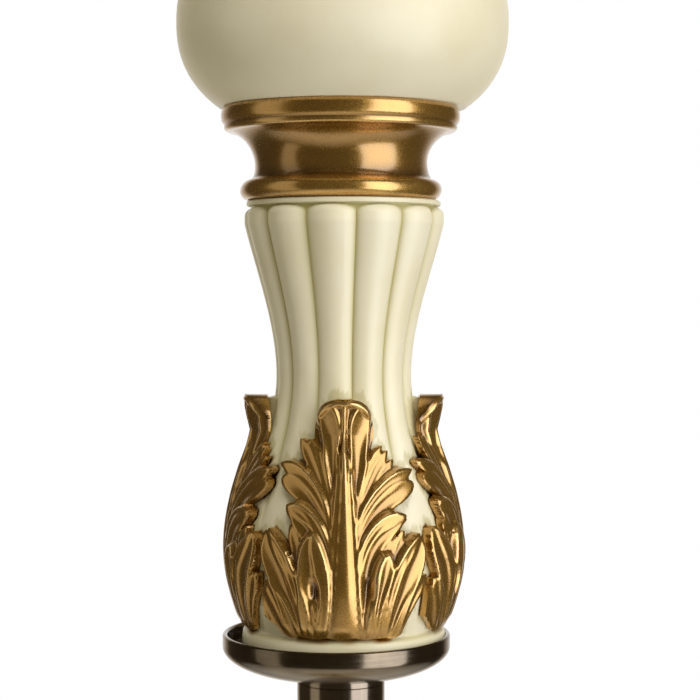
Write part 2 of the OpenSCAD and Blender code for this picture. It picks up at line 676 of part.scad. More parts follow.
// Bulb: screw cap with round threads, and opal glass
thread_pitch = 3.6;
module bulb_cap() color(steel) translate([0, 0, bulb_cap_z]) turned(concat(
    [[0, 0], [4, 0], [5, 1.2], [9, 3.5], [bulb_cap_r - 1.2, 4.5]],
    [for (k = [0:4], w = [-90:45:90])
        [bulb_cap_r - 1 + cos(w), 6.6 + k * thread_pitch + thread_pitch / 2 * w / 91]],
    [[bulb_cap_r - 0.6, bulb_cap_l], [0, bulb_cap_l]]
));
glass_t = 1;
globe_z = bulb_l - bulb_r;
module bulb_glass() color("#F4F1E6") translate([0, 0, bulb_cap_z + bulb_cap_l]) turned(concat(
    [for (k = [0:8]) let (t = k / 8) [12.6 + (bulb_r * cos(-30) - 12.6) * swell(t), t * (globe_z - bulb_r / 2)]],
    bow(0, globe_z, bulb_r, bulb_r, -28, 90, 16),
    bow(0, globe_z, bulb_r - glass_t, bulb_r - glass_t, 90, -28, 16),
    [for (k = [8:-1:0]) let (t = k / 8) [11.6 + ((bulb_r - glass_t) * cos(-30) - 11.6) * swell(t), t * (globe_z - bulb_r / 2)]]
));

// Radius of the shade's outside at height z
function shade_r(z) = shade_bottom_r + (shade_top_r - shade_bottom_r) * (z - shade_bottom_z) / shade_h;
// A conical band that follows the shade, between two heights and two distances from its outside
module shade_band(z0, z1, inner, outer) turned([
    [shade_r(z0) + inner, z0], [shade_r(z0) + outer, z0], [shade_r(z1) + outer, z1], [shade_r(z1) + inner, z1]
]);
module shade_fabric() color(linen) shade_band(shade_bottom_z, shade_top_z, -fabric_t, 0);
module shade_top_trim() color(gold)
    shade_band(shade_top_z - trim_w, shade_top_z, seat_gap, seat_gap + trim_t);
module shade_bottom_trim() color(gold)
    shade_band(shade_bottom_z, shade_bottom_z + trim_w, seat_gap, seat_gap + trim_t);

// Wire rings of the shade; the upper one holds the three arms and the hub of the spider
ring_inset = fabric_t + ring_wire_r + 0.9;
module wire_ring(z) translate([0, 0, z]) rotate_extrude() translate([shade_r(z) - ring_inset, 0])
    circle(r = ring_wire_r, $fn = 32);
module shade_spider() color(brass) {
    top_ring_z = shade_top_z - ring_wire_r - 1;
    wire_ring(top_ring_z);
    for (k = [0:2]) rotate([0, 0, 30 + 120 * k])
        bar([hub_r - 1, 0, hub_z + hub_t / 2], [shade_r(top_ring_z) - ring_inset, 0, top_ring_z], spider_arm_r);
    ring(hub_r, stud_r + seat_gap, hub_z, hub_z + hub_t);
}
module shade_bottom_wire() color(brass) wire_ring(shade_bottom_z + ring_wire_r + 1);

// Turned finial on the harp's stud
module finial() color(gold) translate([0, 0, finial_z]) difference() {
    turned(concat(
        [[0, 0], [8.5, 0], [9, 0.8], [9, 2.4], [8, 3.2], [5, 5], [4.6, 9], [6, 11], [9, 12.5], [9, 14]],
        bow(0, finial_h - 18, 10.5, 12, -40, 62, 12),
        [[3.4, finial_h - 4.4], [4.2, finial_h - 2.6], [3, finial_h - 0.8], [0, finial_h]]
    ));
    round(stud_r + 0.05, -1, 14.5);
}

felt_pad();
base_weight();
foot_ring();
base_shell();
base_leaf(front);  // base_leaf_front
base_leaf(right);  // base_leaf_right
base_leaf(back);  // base_leaf_back
base_leaf(left);  // base_leaf_left
base_collar();
base_cup();
cable_gland();
centre_rod();
rod_washer();
rod_nuts();
lower_tube();
tube_plugs();
lower_dish();
dish_spacer();
vase();
vase_leaf(front);  // leaf_front
vase_leaf(right);  // leaf_right
vase_leaf(back);  // leaf_back
vase_leaf(left);  // leaf_left
lower_collar();
ball();
upper_collar();
upper_neck();
upper_cup();
upper_tube();
top_cup();
internal_lead();
harp_saddle();
harp();
socket_cap();
socket_shell();
socket_liner();
switch_body();
thread_shell();
centre_contact();
switch_bushing();
switch_shaft();
switch_knob();
bulb_cap();
bulb_glass();
shade_fabric();
shade_top_trim();
shade_bottom_trim();
shade_spider();
shade_bottom_wire();
finial();
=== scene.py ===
"""Classical floor lamp: weighted foot, bronzed column with a leaf-cased vase and ball, harp and linen shade."""
import math
import bpy
import bmesh
import numpy as np
from mathutils import Matrix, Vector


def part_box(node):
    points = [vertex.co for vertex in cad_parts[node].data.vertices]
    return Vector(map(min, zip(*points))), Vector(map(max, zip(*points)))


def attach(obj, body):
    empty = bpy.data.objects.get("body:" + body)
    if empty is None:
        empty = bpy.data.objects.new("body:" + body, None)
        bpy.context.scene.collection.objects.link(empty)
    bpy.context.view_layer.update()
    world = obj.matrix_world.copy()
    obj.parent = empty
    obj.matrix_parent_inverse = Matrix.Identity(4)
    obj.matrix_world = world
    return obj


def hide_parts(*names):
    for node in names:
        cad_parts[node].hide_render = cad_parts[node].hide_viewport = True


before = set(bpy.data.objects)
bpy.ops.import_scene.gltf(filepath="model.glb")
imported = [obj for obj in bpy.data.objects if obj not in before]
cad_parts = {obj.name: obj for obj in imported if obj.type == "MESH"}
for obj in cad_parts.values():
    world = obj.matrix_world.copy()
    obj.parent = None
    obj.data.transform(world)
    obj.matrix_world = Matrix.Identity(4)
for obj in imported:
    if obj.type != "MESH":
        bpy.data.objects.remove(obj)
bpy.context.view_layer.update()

# Room: the lamp stands on a round pale stage before a white backdrop, as in a maker's catalogue.
# The main light is a soft box at the front right, so tall that it reaches below the stage. A narrow one at the
# left, two behind and a sheet above the camera fill in.
scene = bpy.context.scene
scene.view_settings.view_transform = "Standard"


def linear(colour):
    """Linear colour of an sRGB hex value: each channel c becomes ((c + 0.055) / 1.055) to the power 2.4."""
    channels = np.array([int(colour[i:i + 2], 16) for i in (1, 3, 5)]) / 255
    return (*np.where(channels < 0.04045, channels / 12.92, ((channels + 0.055) / 1.055) ** 2.4), 1)


def wire(node, inputs):
    """Fills a node's inputs: a socket, or a node's first output, is linked, and any other value is set."""
    for key, value in inputs.items():
        if isinstance(value, bpy.types.Node):
            value = value.outputs[0]
        if isinstance(value, bpy.types.NodeSocket):
            node.id_data.links.new(value, node.inputs[key])
        else:
            node.inputs[key].default_value = value


def add(tree, kind, inputs={}, **settings):
    """Adds one shader node with its settings and its inputs."""
    node = tree.nodes.new("ShaderNode" + kind)
    for key, value in settings.items():
        setattr(node, key, value)
    wire(node, inputs)
    return node


def ranged(value, span=(0, 1), to=(0, 1)):
    """A value in proportion, never past its ends: the two ends of the span become the two that it goes to."""
    return add(value.id_data, "MapRange", {"Value": value, "From Min": span[0], "From Max": span[1],
                                           "To Min": to[0], "To Max": to[1]}).outputs[0]


def mixed(share, first, second):
    """Two colours, each a socket, linear values or an sRGB hex value, with the given share of the second one."""
    first, second = (linear(colour) if isinstance(colour, str) else colour for colour in (first, second))
    return add(share.id_data, "Mix", {0: share, 6: first, 7: second}, data_type="RGBA").outputs[2]


def new_piece(name, points, faces, material, smooth_below=38, poles=False, shares={}):
    """Makes one object from an array of places and an array of faces, smooth where faces meet at a low angle.

    Shares are numbers at each place that its material reads by name, such as how hollow the place is. With poles,
    the places that coincide at the ends of a solid become one."""
    mesh = bpy.data.meshes.new(name)
    mesh.vertices.add(points.size // 3)
    mesh.vertices.foreach_set("co", np.ascontiguousarray(points, dtype=np.float32).ravel())
    corners = faces.shape[1]
    mesh.loops.add(faces.size)
    mesh.loops.foreach_set("vertex_index", np.ascontiguousarray(faces, dtype=np.int32).ravel())
    mesh.polygons.add(len(faces))
    mesh.polygons.foreach_set("loop_start", np.arange(len(faces), dtype=np.int32) * corners)
    mesh.update(calc_edges=True)
    for key, values in shares.items():
        spread = np.ascontiguousarray(values, dtype=np.float32).ravel()
        mesh.attributes.new(key, "FLOAT", "POINT").data.foreach_set("value", spread)
    if poles:
        whole = bmesh.new()
        whole.from_mesh(mesh)
        bmesh.ops.remove_doubles(whole, verts=whole.verts, dist=1e-7)
        whole.to_mesh(mesh)
        whole.free()
    mesh.validate()
    mesh.polygons.foreach_set("use_smooth", np.ones(len(mesh.polygons), dtype=bool))
    mesh.set_sharp_from_angle(angle=math.radians(smooth_below))
    mesh.materials.append(material)
    piece = bpy.data.objects.new(name, mesh)
    scene.collection.objects.link(piece)
    return piece


def even_angles(steps):
    """Angles in radians of that many even steps round a turn."""
    return np.linspace(0, 2 * np.pi, steps, endpoint=False)


def placed(radius, angle, level, x=0):
    """Places in metres round an upright axis, for a radius in mm: x + r sin w, -r cos w and the level."""
    radius, angle, level = np.broadcast_arrays(radius, angle, level)
    return np.stack([x + radius * np.sin(angle) / 1000, -radius * np.cos(angle) / 1000, level], axis=-1)


def closed_grid(points):
    """Faces of a grid of places [row, column] that closes on itself both ways, as a ring does."""
    rows, columns = points.shape[:2]
    i, j = np.meshgrid(np.arange(columns), np.arange(rows))
    a, b = j * columns + i, j * columns + (i + 1) % columns
    up = ((j + 1) % rows) * columns
    return np.stack([a, b, up + (i + 1) % columns, up + i], axis=-1).reshape(-1, 4)


# The camera stands where the photographer's did: the focal length in pixels and the tilt follow from the photo
focal_px, photo_px, tilt = 1860, 700, 1.69
rim_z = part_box("lower_dish")[1].z - 0.00075
lens = bpy.data.cameras.new("photo_lens")
lens.lens = lens.sensor_width * focal_px / photo_px
camera = bpy.data.objects.new("photo_camera", lens)
camera.location = (0.0026, -0.528, rim_z + 0.0961)
camera.rotation_euler = (math.radians(90 - tilt), 0, 0)
scene.collection.objects.link(camera)
scene.camera = camera


def soft_light(name, place, lean, turn, wide, tall, watts, colour, in_metal):
    """An area light, its size in metres, that leans from facing down and turns about Z, both in degrees."""
    area = bpy.data.lights.new(name, "AREA")
    area.shape, area.size, area.size_y, area.energy, area.color = "RECTANGLE", wide, tall, watts, colour
    lamp = bpy.data.objects.new(name, area)
    lamp.location, lamp.rotation_euler = place, (math.radians(lean), 0, math.radians(turn))
    lamp.visible_camera, lamp.visible_glossy = False, in_metal
    scene.collection.objects.link(lamp)


for name, turn, distance, height, wide, tall, watts, colour in (
    ("soft_box_right", 51, 2.2, 0.75, 1.9, 3.6, 56, (0.95, 0.97, 1)),
    ("soft_box_left", -72, 2, 0.75, 1, 3.2, 5, (1, 0.94, 0.76)),
    ("soft_box_back_right", 142, 2.3, 0.95, 0.9, 2.2, 16, (1, 0.98, 0.94)),
    ("soft_box_back_left", 215, 2.4, 0.95, 1.2, 2.2, 30, (1, 0.97, 0.9)),
):
    way = math.radians(turn)
    soft_light(name, (distance * math.sin(way), -distance * math.cos(way), height), 90, turn, wide, tall, watts,
               colour, in_metal="back" not in name)
soft_light("overhead_sheet", (0.25, -1.45, 3), 36, 10, 1.6, 1.6, 40, (1, 0.98, 0.92), in_metal=False)


def empty_tree(owner):
    """The node tree of a world or material, without the nodes that it starts with."""
    owner.use_nodes = True
    owner.node_tree.nodes.clear()
    return owner.node_tree


scene.world = bpy.data.worlds.new("white_room")
tree = empty_tree(scene.world)
rays = add(tree, "LightPath").outputs
direction = add(tree, "SeparateXYZ", {0: add(tree, "TexCoord").outputs["Generated"]})
# What metal mirrors: a white backdrop behind the lamp, and a dim warm room beside it and on the camera's side.
# Paint and cloth get an even warm fill instead, and the camera sees plain white.
white, warm_room, warm_fill = (1, 1, 1, 1), (1, 0.74, 0.42, 1), (1, 0.93, 0.68, 1)
backdrop = ranged(direction.outputs["Y"], (0.72, 0.98), (0.06, 0.95))
unseen = add(tree, "Mix", {"Factor": rays["Is Glossy Ray"], "A": 0.19, "B": backdrop})
seen = add(tree, "Math", {0: rays["Is Camera Ray"], 1: rays["Is Transmission Ray"]}, operation="MAXIMUM")
strength = add(tree, "Mix", {"Factor": seen, "A": unseen, "B": 1})
on_metal = mixed(rays["Is Glossy Ray"], white, mixed(backdrop, warm_room, white))
tint = mixed(rays["Is Diffuse Ray"], on_metal, warm_fill)
light = add(tree, "Background", {"Color": tint, "Strength": strength})
add(tree, "OutputWorld", {"Surface": light})

# The stage is matt white paint up to 0.4 m from the lamp, and fades out from there to 1 m
floor_paint = bpy.data.materials.new("matt_floor_paint")
tree = empty_tree(floor_paint)
reach = add(tree, "VectorMath", {0: add(tree, "TexCoord").outputs["Object"]}, operation="LENGTH")
fade = ranged(reach.outputs["Value"], (0.4, 1), (1, 0))
matt = add(tree, "BsdfDiffuse", {"Color": linear("#F2F0EC"), "Roughness": 0.5})
blend = add(tree, "MixShader", {0: fade, 1: add(tree, "BsdfTransparent"), 2: matt})
add(tree, "OutputMaterial", {"Surface": blend})
turn = even_angles(96)
floor_points = placed(np.array([[20], [800], [1600], [2400]]), turn, 0)
floor = new_piece("floor", floor_points, closed_grid(floor_points)[:-len(turn)], floor_paint)


def new_material(name):
    """Starts a material and hands back its tree, its shader and its Object coordinates, which are in metres."""
    material = bpy.data.materials.new(name)
    material.use_nodes = True
    tree = material.node_tree
    return material, tree, tree.nodes["Principled BSDF"], add(tree, "TexCoord").outputs["Object"]


def share_on(tree, name):
    """The share of that name at each place of a piece."""
    return add(tree, "Attribute", attribute_name=name).outputs["Fac"]


def noise(place, scale, detail, roughness=0.5):
    """Cloudy noise from 0 to 1, its scale in clouds per metre."""
    inputs = {"Vector": place, "Scale": scale, "Detail": detail, "Roughness": roughness}
    return add(place.id_data, "TexNoise", inputs).outputs[0]


def bumped(strength, distance, height, under=None, **settings):
    """Relief in which a height of 1 stands for the distance in metres, on top of any relief under it."""
    inputs = {"Strength": strength, "Distance": distance, "Height": height}
    if under:
        inputs["Normal"] = under
    return add(height.id_data, "Bump", inputs, **settings).outputs[0]


def finish_nodes(material, *names):
    """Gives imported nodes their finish: each slot of each node takes the material."""
    for name in names:
        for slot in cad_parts[name].material_slots:
            slot.material = material


# Felt pad: a 2 mm disc of pressed wool felt, glued under the foot so that the iron doesn't mark the floor.
# Pressed felt has no weave, only matted hairs, so its colour is cloudy and its sheen soft.
felt, tree, shader, place = new_material("pressed_wool_felt")
wire(shader, {
    "Base Color": mixed(noise(place, 160, 5, 0.7), "#1F3226", "#3D5A45"),
    "Normal": bumped(0.6, 0.0004, noise(place, 1400, 3)),
    "Roughness": 0.95, "Sheen Weight": 0.35,
})
finish_nodes(felt, "felt_pad")

# Iron weight: a cast grey-iron disc inside the foot, with the recess of the lower nut and the channel of the lead.
# Sand casting leaves a grainy skin, blackened by a dip coat.
iron, tree, shader, place = new_material("sand_cast_grey_iron")
grain = noise(place, 700, 6, 0.65)
wire(shader, {
    "Base Color": mixed(grain, "#232325", "#4A4948"), "Metallic": 0.7, "Roughness": 0.62,
    "Normal": bumped(0.7, 0.0005, grain),
})
finish_nodes(iron, "base_weight")

# Foot ring: a turned ring around the weight, gilded with gold paint, with the hole of the cable gland at its back.
# Gold paint is mica and bronze powder in a satin varnish. It is brown in hollows, partly glazing that lies thick there
# and partly painted shade and painted reflection of the dark room. It is pale on ridges, partly rubbed wear and partly
# a painted highlight.
gilt, tree, shader, place = new_material("satin_gold_paint")
hollow, ridge = share_on(tree, "hollow"), share_on(tree, "ridge")
patches = noise(place, 85, 4, 0.6)
flecks = noise(place, 1100, 3, 0.7)
body = mixed(ranged(patches, (0.35, 0.7)), "#BC8B32", "#CF9E45")
bright = mixed(ranged(flecks, (0.45, 0.75), (0, 0.16)), body, "#DDB468")
clouded = ranged(patches, (0.3, 0.7), (0.75, 1.25))
# Brown and less metallic in the hollows: partly glazing that lies thick there, partly painted shade and painted
# reflection
glaze_and_shade = add(tree, "Math", {0: hollow, 1: clouded}, operation="MULTIPLY", use_clamp=True).outputs[0]
glazed_and_shaded = mixed(glaze_and_shade, bright, "#4E2C0A")
skin_of_paint = bumped(0.06, 0.0006, noise(place, 200, 3))
# Pale gold on the ridges: partly rubbed wear, partly a painted highlight
wire(shader, {
    "Base Color": mixed(ridge, glazed_and_shaded, "#E6BE78"),
    "Metallic": ranged(glaze_and_shade, to=(0.87, 0.68)),
    "Roughness": ranged(flecks, (0.3, 0.7), (0.22, 0.3)),
    "Coat Weight": 1, "Coat Roughness": 0.17, "Coat IOR": 1.75,
    "Normal": bumped(0.04, 0.0002, flecks, skin_of_paint),
})


def arc(x, z, a, b, start, end, steps=24):
    """Places on an ellipse about (x, z): x + a cos w and z + b sin w, with w from start to end in degrees."""
    w = np.radians(np.linspace(start, end, steps + 1))
    return np.stack([x + a * np.cos(w), z + b * np.sin(w)], axis=-1)


def joined(parts):
    """One closed profile from its parts, in the direction that has the inside of the piece on its left."""
    profile = np.concatenate([np.atleast_2d(part) for part in parts])
    r, h = profile.T
    return profile[::-1] if np.sum(r * np.roll(h, -1) - np.roll(r, -1) * h) < 0 else profile


def turned(name, parts, material, z=0, x=0, steps=192, shares={}, uneven=0):
    """Turns a closed profile of [radius, height] in mm about an upright axis: x = r sin w, y = -r cos w.

    Uneven is how far in mm hand work moves the radius: the mean of three sine waves round and along the piece.
    A profile that starts and ends on the axis makes a solid with a pole at each end. Its shares go round with it."""
    r, h = joined(parts).T
    w = even_angles(steps)
    along = h[:, None]
    waves = np.sin(3 * w + 0.5 * along) + np.sin(5 * w - 0.31 * along + 2) + np.sin(9 * w + 0.23 * along + 4)
    round_r = r[:, None] + uneven / 3 * waves * np.clip(r[:, None] / 8 - 1, 0, 1)
    points = placed(round_r, w, z + along / 1000, x)
    solid = r[0] == 0 and r[-1] == 0
    faces = closed_grid(points)[:-steps] if solid else closed_grid(points)
    shares = {key: np.repeat(values, steps) for key, values in shares.items()}
    piece = new_piece(name, points, faces, material, poles=solid, shares=shares)
    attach(piece, "root")
    return piece


foot_ring_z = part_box("foot_ring")[0].z
foot_ring = turned("gilt_foot_ring", [
    [[125.15, 0], [145, 0]],
    arc(142, 8, 8, 8, -60, 90, 40),
    [[139.5, 14], [139.5, 16], [139.1, 16], [125.15, 16]],
], gilt, z=foot_ring_z, steps=256)
# The hole that the cable gland goes through
drill_mesh = bpy.data.meshes.new("gland_drill")
drill = bmesh.new()
bmesh.ops.create_cone(drill, cap_ends=True, segments=48, radius1=0.00455, radius2=0.00455, depth=0.06,
                      matrix=Matrix.Translation((0, 0.14, 0.01)) @ Matrix.Rotation(math.pi / 2, 4, "X"))
drill.to_mesh(drill_mesh)
drill.free()
drill_piece = bpy.data.objects.new("gland_drill", drill_mesh)
scene.collection.objects.link(drill_piece)
cut = foot_ring.modifiers.new("gland_hole", "BOOLEAN")
cut.operation, cut.object, cut.solver = "DIFFERENCE", drill_piece, "EXACT"
bpy.context.view_layer.update()
drilled = bpy.data.meshes.new_from_object(foot_ring.evaluated_get(bpy.context.evaluated_depsgraph_get()))
foot_ring.modifiers.clear()
foot_ring.data = drilled
bpy.data.objects.remove(drill_piece)
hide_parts("foot_ring")

# Base shell: a cast bell of two mouldings, an ovolo and a long cove, painted cream and standing on the foot ring.
# The cream is an eggshell oil paint: soft sheen, brush marks that run round and small pits. Its hollows are painted a
# darker yellow-green, partly yellowed paint and partly painted shade.
cream, tree, shader, place = new_material("eggshell_oil_paint")
hollow, gilt_edge = share_on(tree, "hollow"), share_on(tree, "gilt")
clouds = noise(place, 38, 4, 0.55)
body = mixed(ranged(clouds, (0.3, 0.7)), "#E5DBBA", "#EDE5CC")
# Darker yellow-green in hollows: partly yellowed paint, partly painted shade
yellowed_and_shaded = mixed(hollow, body, "#B3A768")
cells = add(tree, "TexVoronoi", {"Vector": place, "Scale": 130})
pit = ranged(cells.outputs["Distance"], (0.035, 0.065), (1, 0))
rarely = ranged(noise(place, 60, 1), (0.56, 0.6))
pits = add(tree, "Math", {0: pit, 1: rarely}, operation="MULTIPLY", use_clamp=True).outputs[0]
pocked = mixed(pits, yellowed_and_shaded, "#A0946A")
strokes = add(tree, "Mapping", {"Vector": place, "Scale": (1, 1, 0.18)})
brush_marks = bumped(0.08, 0.0006, noise(strokes, 420, 3))
waves = bumped(0.16, 0.002, clouds, brush_marks)
wire(shader, {
    "Base Color": mixed(gilt_edge, pocked, "#A07632"),
    "Metallic": gilt_edge,
    "Roughness": ranged(clouds, (0.3, 0.7), (0.33, 0.45)),
    "Coat Weight": 0.3, "Coat Roughness": 0.28,
    "Normal": bumped(0.35, 0.0004, pits, waves, invert=True),
})

shell_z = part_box("base_shell")[0].z
shell_profile = [
    [[138, 0], [138, 2.6], [137.6, 3.6], [136, 4.2]],
    arc(92, 4, 44, 20, 8, 90, 48),
    [[90, 24.2], [88.4, 25.2], [88, 27]],
    arc(88, 78, 50, 51, -98, -180, 64)[1:],
    [[38, 83], [37.7, 83.7], [37, 84], [5.3, 84], [5.3, 6], [125.15, 6], [125.15, 0]],
]
base_shell = turned("cream_base_shell", shell_profile, cream, z=shell_z, steps=256)
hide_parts("base_shell")

# Base leaves: four cast acanthus leaves pinned in the cove of the shell, gilded like the four on the vase.
# They come from one founder's pattern: gouged fingers that spread from a fluted rib and lie one over the other.
# Each gouge: root, middle and tip [across, along], half width and rim height at those three, depth of its hollow,
# tilt up to its inner side, and 1 where its tip is round
gouges = np.array([
    [2.6, 31.1, 4.2, 46.3, 5.7, 62.2, 0.2, 2.6, 5.1, 2.4, 2.8, 3.9, 1.7, 0, 1],
    [-2.6, 32.7, -4, 47.8, -5.2, 62.5, 0.2, 2.4, 4.9, 2.4, 2.8, 3.9, 1.7, 0, 1],
    [2.7, 25.6, 5.2, 40.8, 13.1, 51.3, 0.4, 1.2, 1.8, 2.3, 2.3, 1.9, 0.7, 0.15, 0],
    [3.3, 24.8, 6.5, 39.4, 15, 49.9, 0.4, 1.3, 2.2, 2.2, 2.2, 1.8, 0.8, 0.15, 0],
    [3.7, 23.7, 7.8, 37.3, 16.6, 47.5, 0.4, 1.3, 2.2, 2.1, 2.1, 1.7, 0.8, 0.15, 0],
    [-3, 26.9, -5.6, 42.6, -12.4, 53, 0.5, 1.5, 2.4, 2.3, 2.3, 1.9, 0.7, 0.15, 0],
    [-3.7, 26.9, -7.8, 42.5, -15.7, 53.1, 0.5, 1.4, 2.7, 2.2, 2.2, 1.8, 0.8, 0.15, 0],
    [3.5, 22.1, 7.4, 36.3, 22.8, 44.5, 0.5, 1.7, 3, 2.5, 3.1, 2.6, 1.1, 0.45, 0],
    [3.7, 20, 8.3, 33.4, 22.3, 40.7, 0.6, 2.2, 3.5, 2.3, 2.7, 2.3, 1.2, 0.3, 1],
    [-3.7, 23, -8.1, 39.1, -21.5, 46.3, 0.5, 1.7, 2.8, 2.5, 3.1, 2.6, 1.1, 0.45, 0],
    [-3.7, 20, -8, 35.2, -20, 42.3, 0.6, 2.1, 3.4, 2.3, 2.7, 2.3, 1.2, 0.3, 1],
    [3.9, 16.2, 7.1, 28.2, 17.3, 32.6, 0.6, 1.7, 2.4, 2.6, 3.6, 3.2, 1.1, 0.45, 0],
    [5.5, 7.8, 7.2, 23.6, 17.2, 31.7, 0.9, 1.9, 2.5, 1.8, 2.9, 3, 1.2, 0.45, 0],
    [-3.8, 16.7, -7, 30, -16.5, 35.4, 0.6, 1.7, 2.4, 2.6, 3.6, 3.2, 1.1, 0.45, 0],
    [-4.6, 9, -8.1, 26.5, -16.4, 34.7, 0.9, 2.3, 2.7, 1.8, 2.9, 3, 1.2, 0.45, 0],
    [9.8, 14.6, 10.7, 21.9, 11, 26.9, 0.6, 1, 1, 1.6, 2.1, 2.1, 0.7, 0.2, 0],
    [10.9, 14.5, 12, 21.8, 13.2, 28.1, 0.7, 1.1, 1.1, 1.6, 2.1, 2.1, 0.7, 0.2, 0],
    [12, 14.4, 13.6, 22.5, 16.4, 28.7, 0.7, 1.2, 1.3, 1.6, 2.1, 2.1, 0.7, 0.2, 0],
    [-10.6, 13.2, -11.9, 22.4, -14.7, 30.5, 0.8, 1.6, 1.8, 1.6, 2.1, 2.1, 0.7, 0.2, 0],
    [10.8, -1.3, 12, 13.6, 20.7, 27.8, 1.7, 1.6, 2.2, 1.6, 3.4, 3.3, 1, 0.3, 0],
    [13.5, -1.5, 16, 12.7, 21.2, 27, 2, 3, 3.9, 1.4, 3.3, 3, 1.6, 0, 0],
    [-10.9, -1.3, -12.6, 14.4, -20.9, 29.2, 1.7, 1.6, 2.2, 1.6, 3.4, 3.3, 1, 0.3, 0],
    [-13.6, -1.5, -16.3, 14.1, -21.8, 28.6, 2, 3.4, 4.2, 1.4, 3.2, 3, 1.6, 0, 0],
    [7.2, -1.1, 7.4, 11.7, 9.7, 23.3, 1.2, 1.1, 1.3, 1.8, 3.6, 4.1, 0.8, 0.2, 0],
    [9.4, -1.2, 9.5, 11.5, 11.2, 23.4, 1.5, 1.9, 2.4, 1.6, 3.7, 4.1, 1.6, 0.2, 0],
    [-7.3, -1.1, -5, 13.4, -8.2, 28.9, 1.6, 1.6, 2.1, 1.9, 3.8, 4.1, 0.8, 0.2, 0],
    [-9.8, -1.2, -9.3, 12.7, -8.9, 28.4, 1.8, 2.5, 2.6, 1.7, 3.6, 4, 1.6, 0.2, 0],
    [14.7, -2.2, 17, 7, 22.6, 16.5, 1.5, 2, 2.5, 1.2, 2.3, 2.4, 0.9, 0.2, 0],
    [-13.9, -2.1, -16.3, 6.6, -21.8, 15, 1.6, 2.2, 2.4, 1.2, 2.4, 2.5, 0.9, 0.2, 0],
    [-16.6, -2.3, -20.2, 4.5, -23.1, 13.1, 1.8, 2.5, 2.6, 1.1, 2.1, 2.2, 1, 0.1, 0],
])
# Drop-shaped eyes between the lower fingers: across, along, half width, half height
eyes = ((6.4, 12.6, 0.9, 3), (-7.6, 12.8, 0.9, 3))
leaf_long = 64.5


def share_of(value, start, end):
    """How far a value is on its way from start to end, from 0 to 1."""
    return np.clip((value - start) / (end - start), 0, 1)


def through(t, values):
    """Parabola through three values at t = 0, 0.5 and 1."""
    return values[0] * (1 - t) * (1 - 2 * t) + 4 * values[1] * t * (1 - t) + values[2] * t * (2 * t - 1)


def along_gouge(u, v, gouge):
    """Nearest place t on the parabola through root, middle and tip, distance from it, and side (1 inner, -1 outer).

    It starts at the nearest of 13 places and takes four Newton steps towards where the way to it is square."""
    root, middle, tip = gouge[:6].reshape(3, 2)
    b, c = 4 * middle - 3 * root - tip, 2 * root + 2 * tip - 4 * middle
    coarse = np.linspace(0, 1, 13)[:, None]
    x, y = root[0] + (b[0] + c[0] * coarse) * coarse, root[1] + (b[1] + c[1] * coarse) * coarse
    t = coarse[np.argmin((u - x) ** 2 + (v - y) ** 2, axis=0), 0]
    for step in range(5):
        away_u, away_v = root[0] + (b[0] + c[0] * t) * t - u, root[1] + (b[1] + c[1] * t) * t - v
        run_u, run_v = b[0] + 2 * c[0] * t, b[1] + 2 * c[1] * t
        if step < 4:
            slope = run_u ** 2 + run_v ** 2 + 2 * (away_u * c[0] + away_v * c[1])
            t = np.clip(t - (away_u * run_u + away_v * run_v) / np.maximum(slope, 1), 0, 1)
    side = np.sign((run_v * away_u - run_u * away_v) * (tip[0] - root[0]))
    return t, np.hypot(away_u, away_v), side


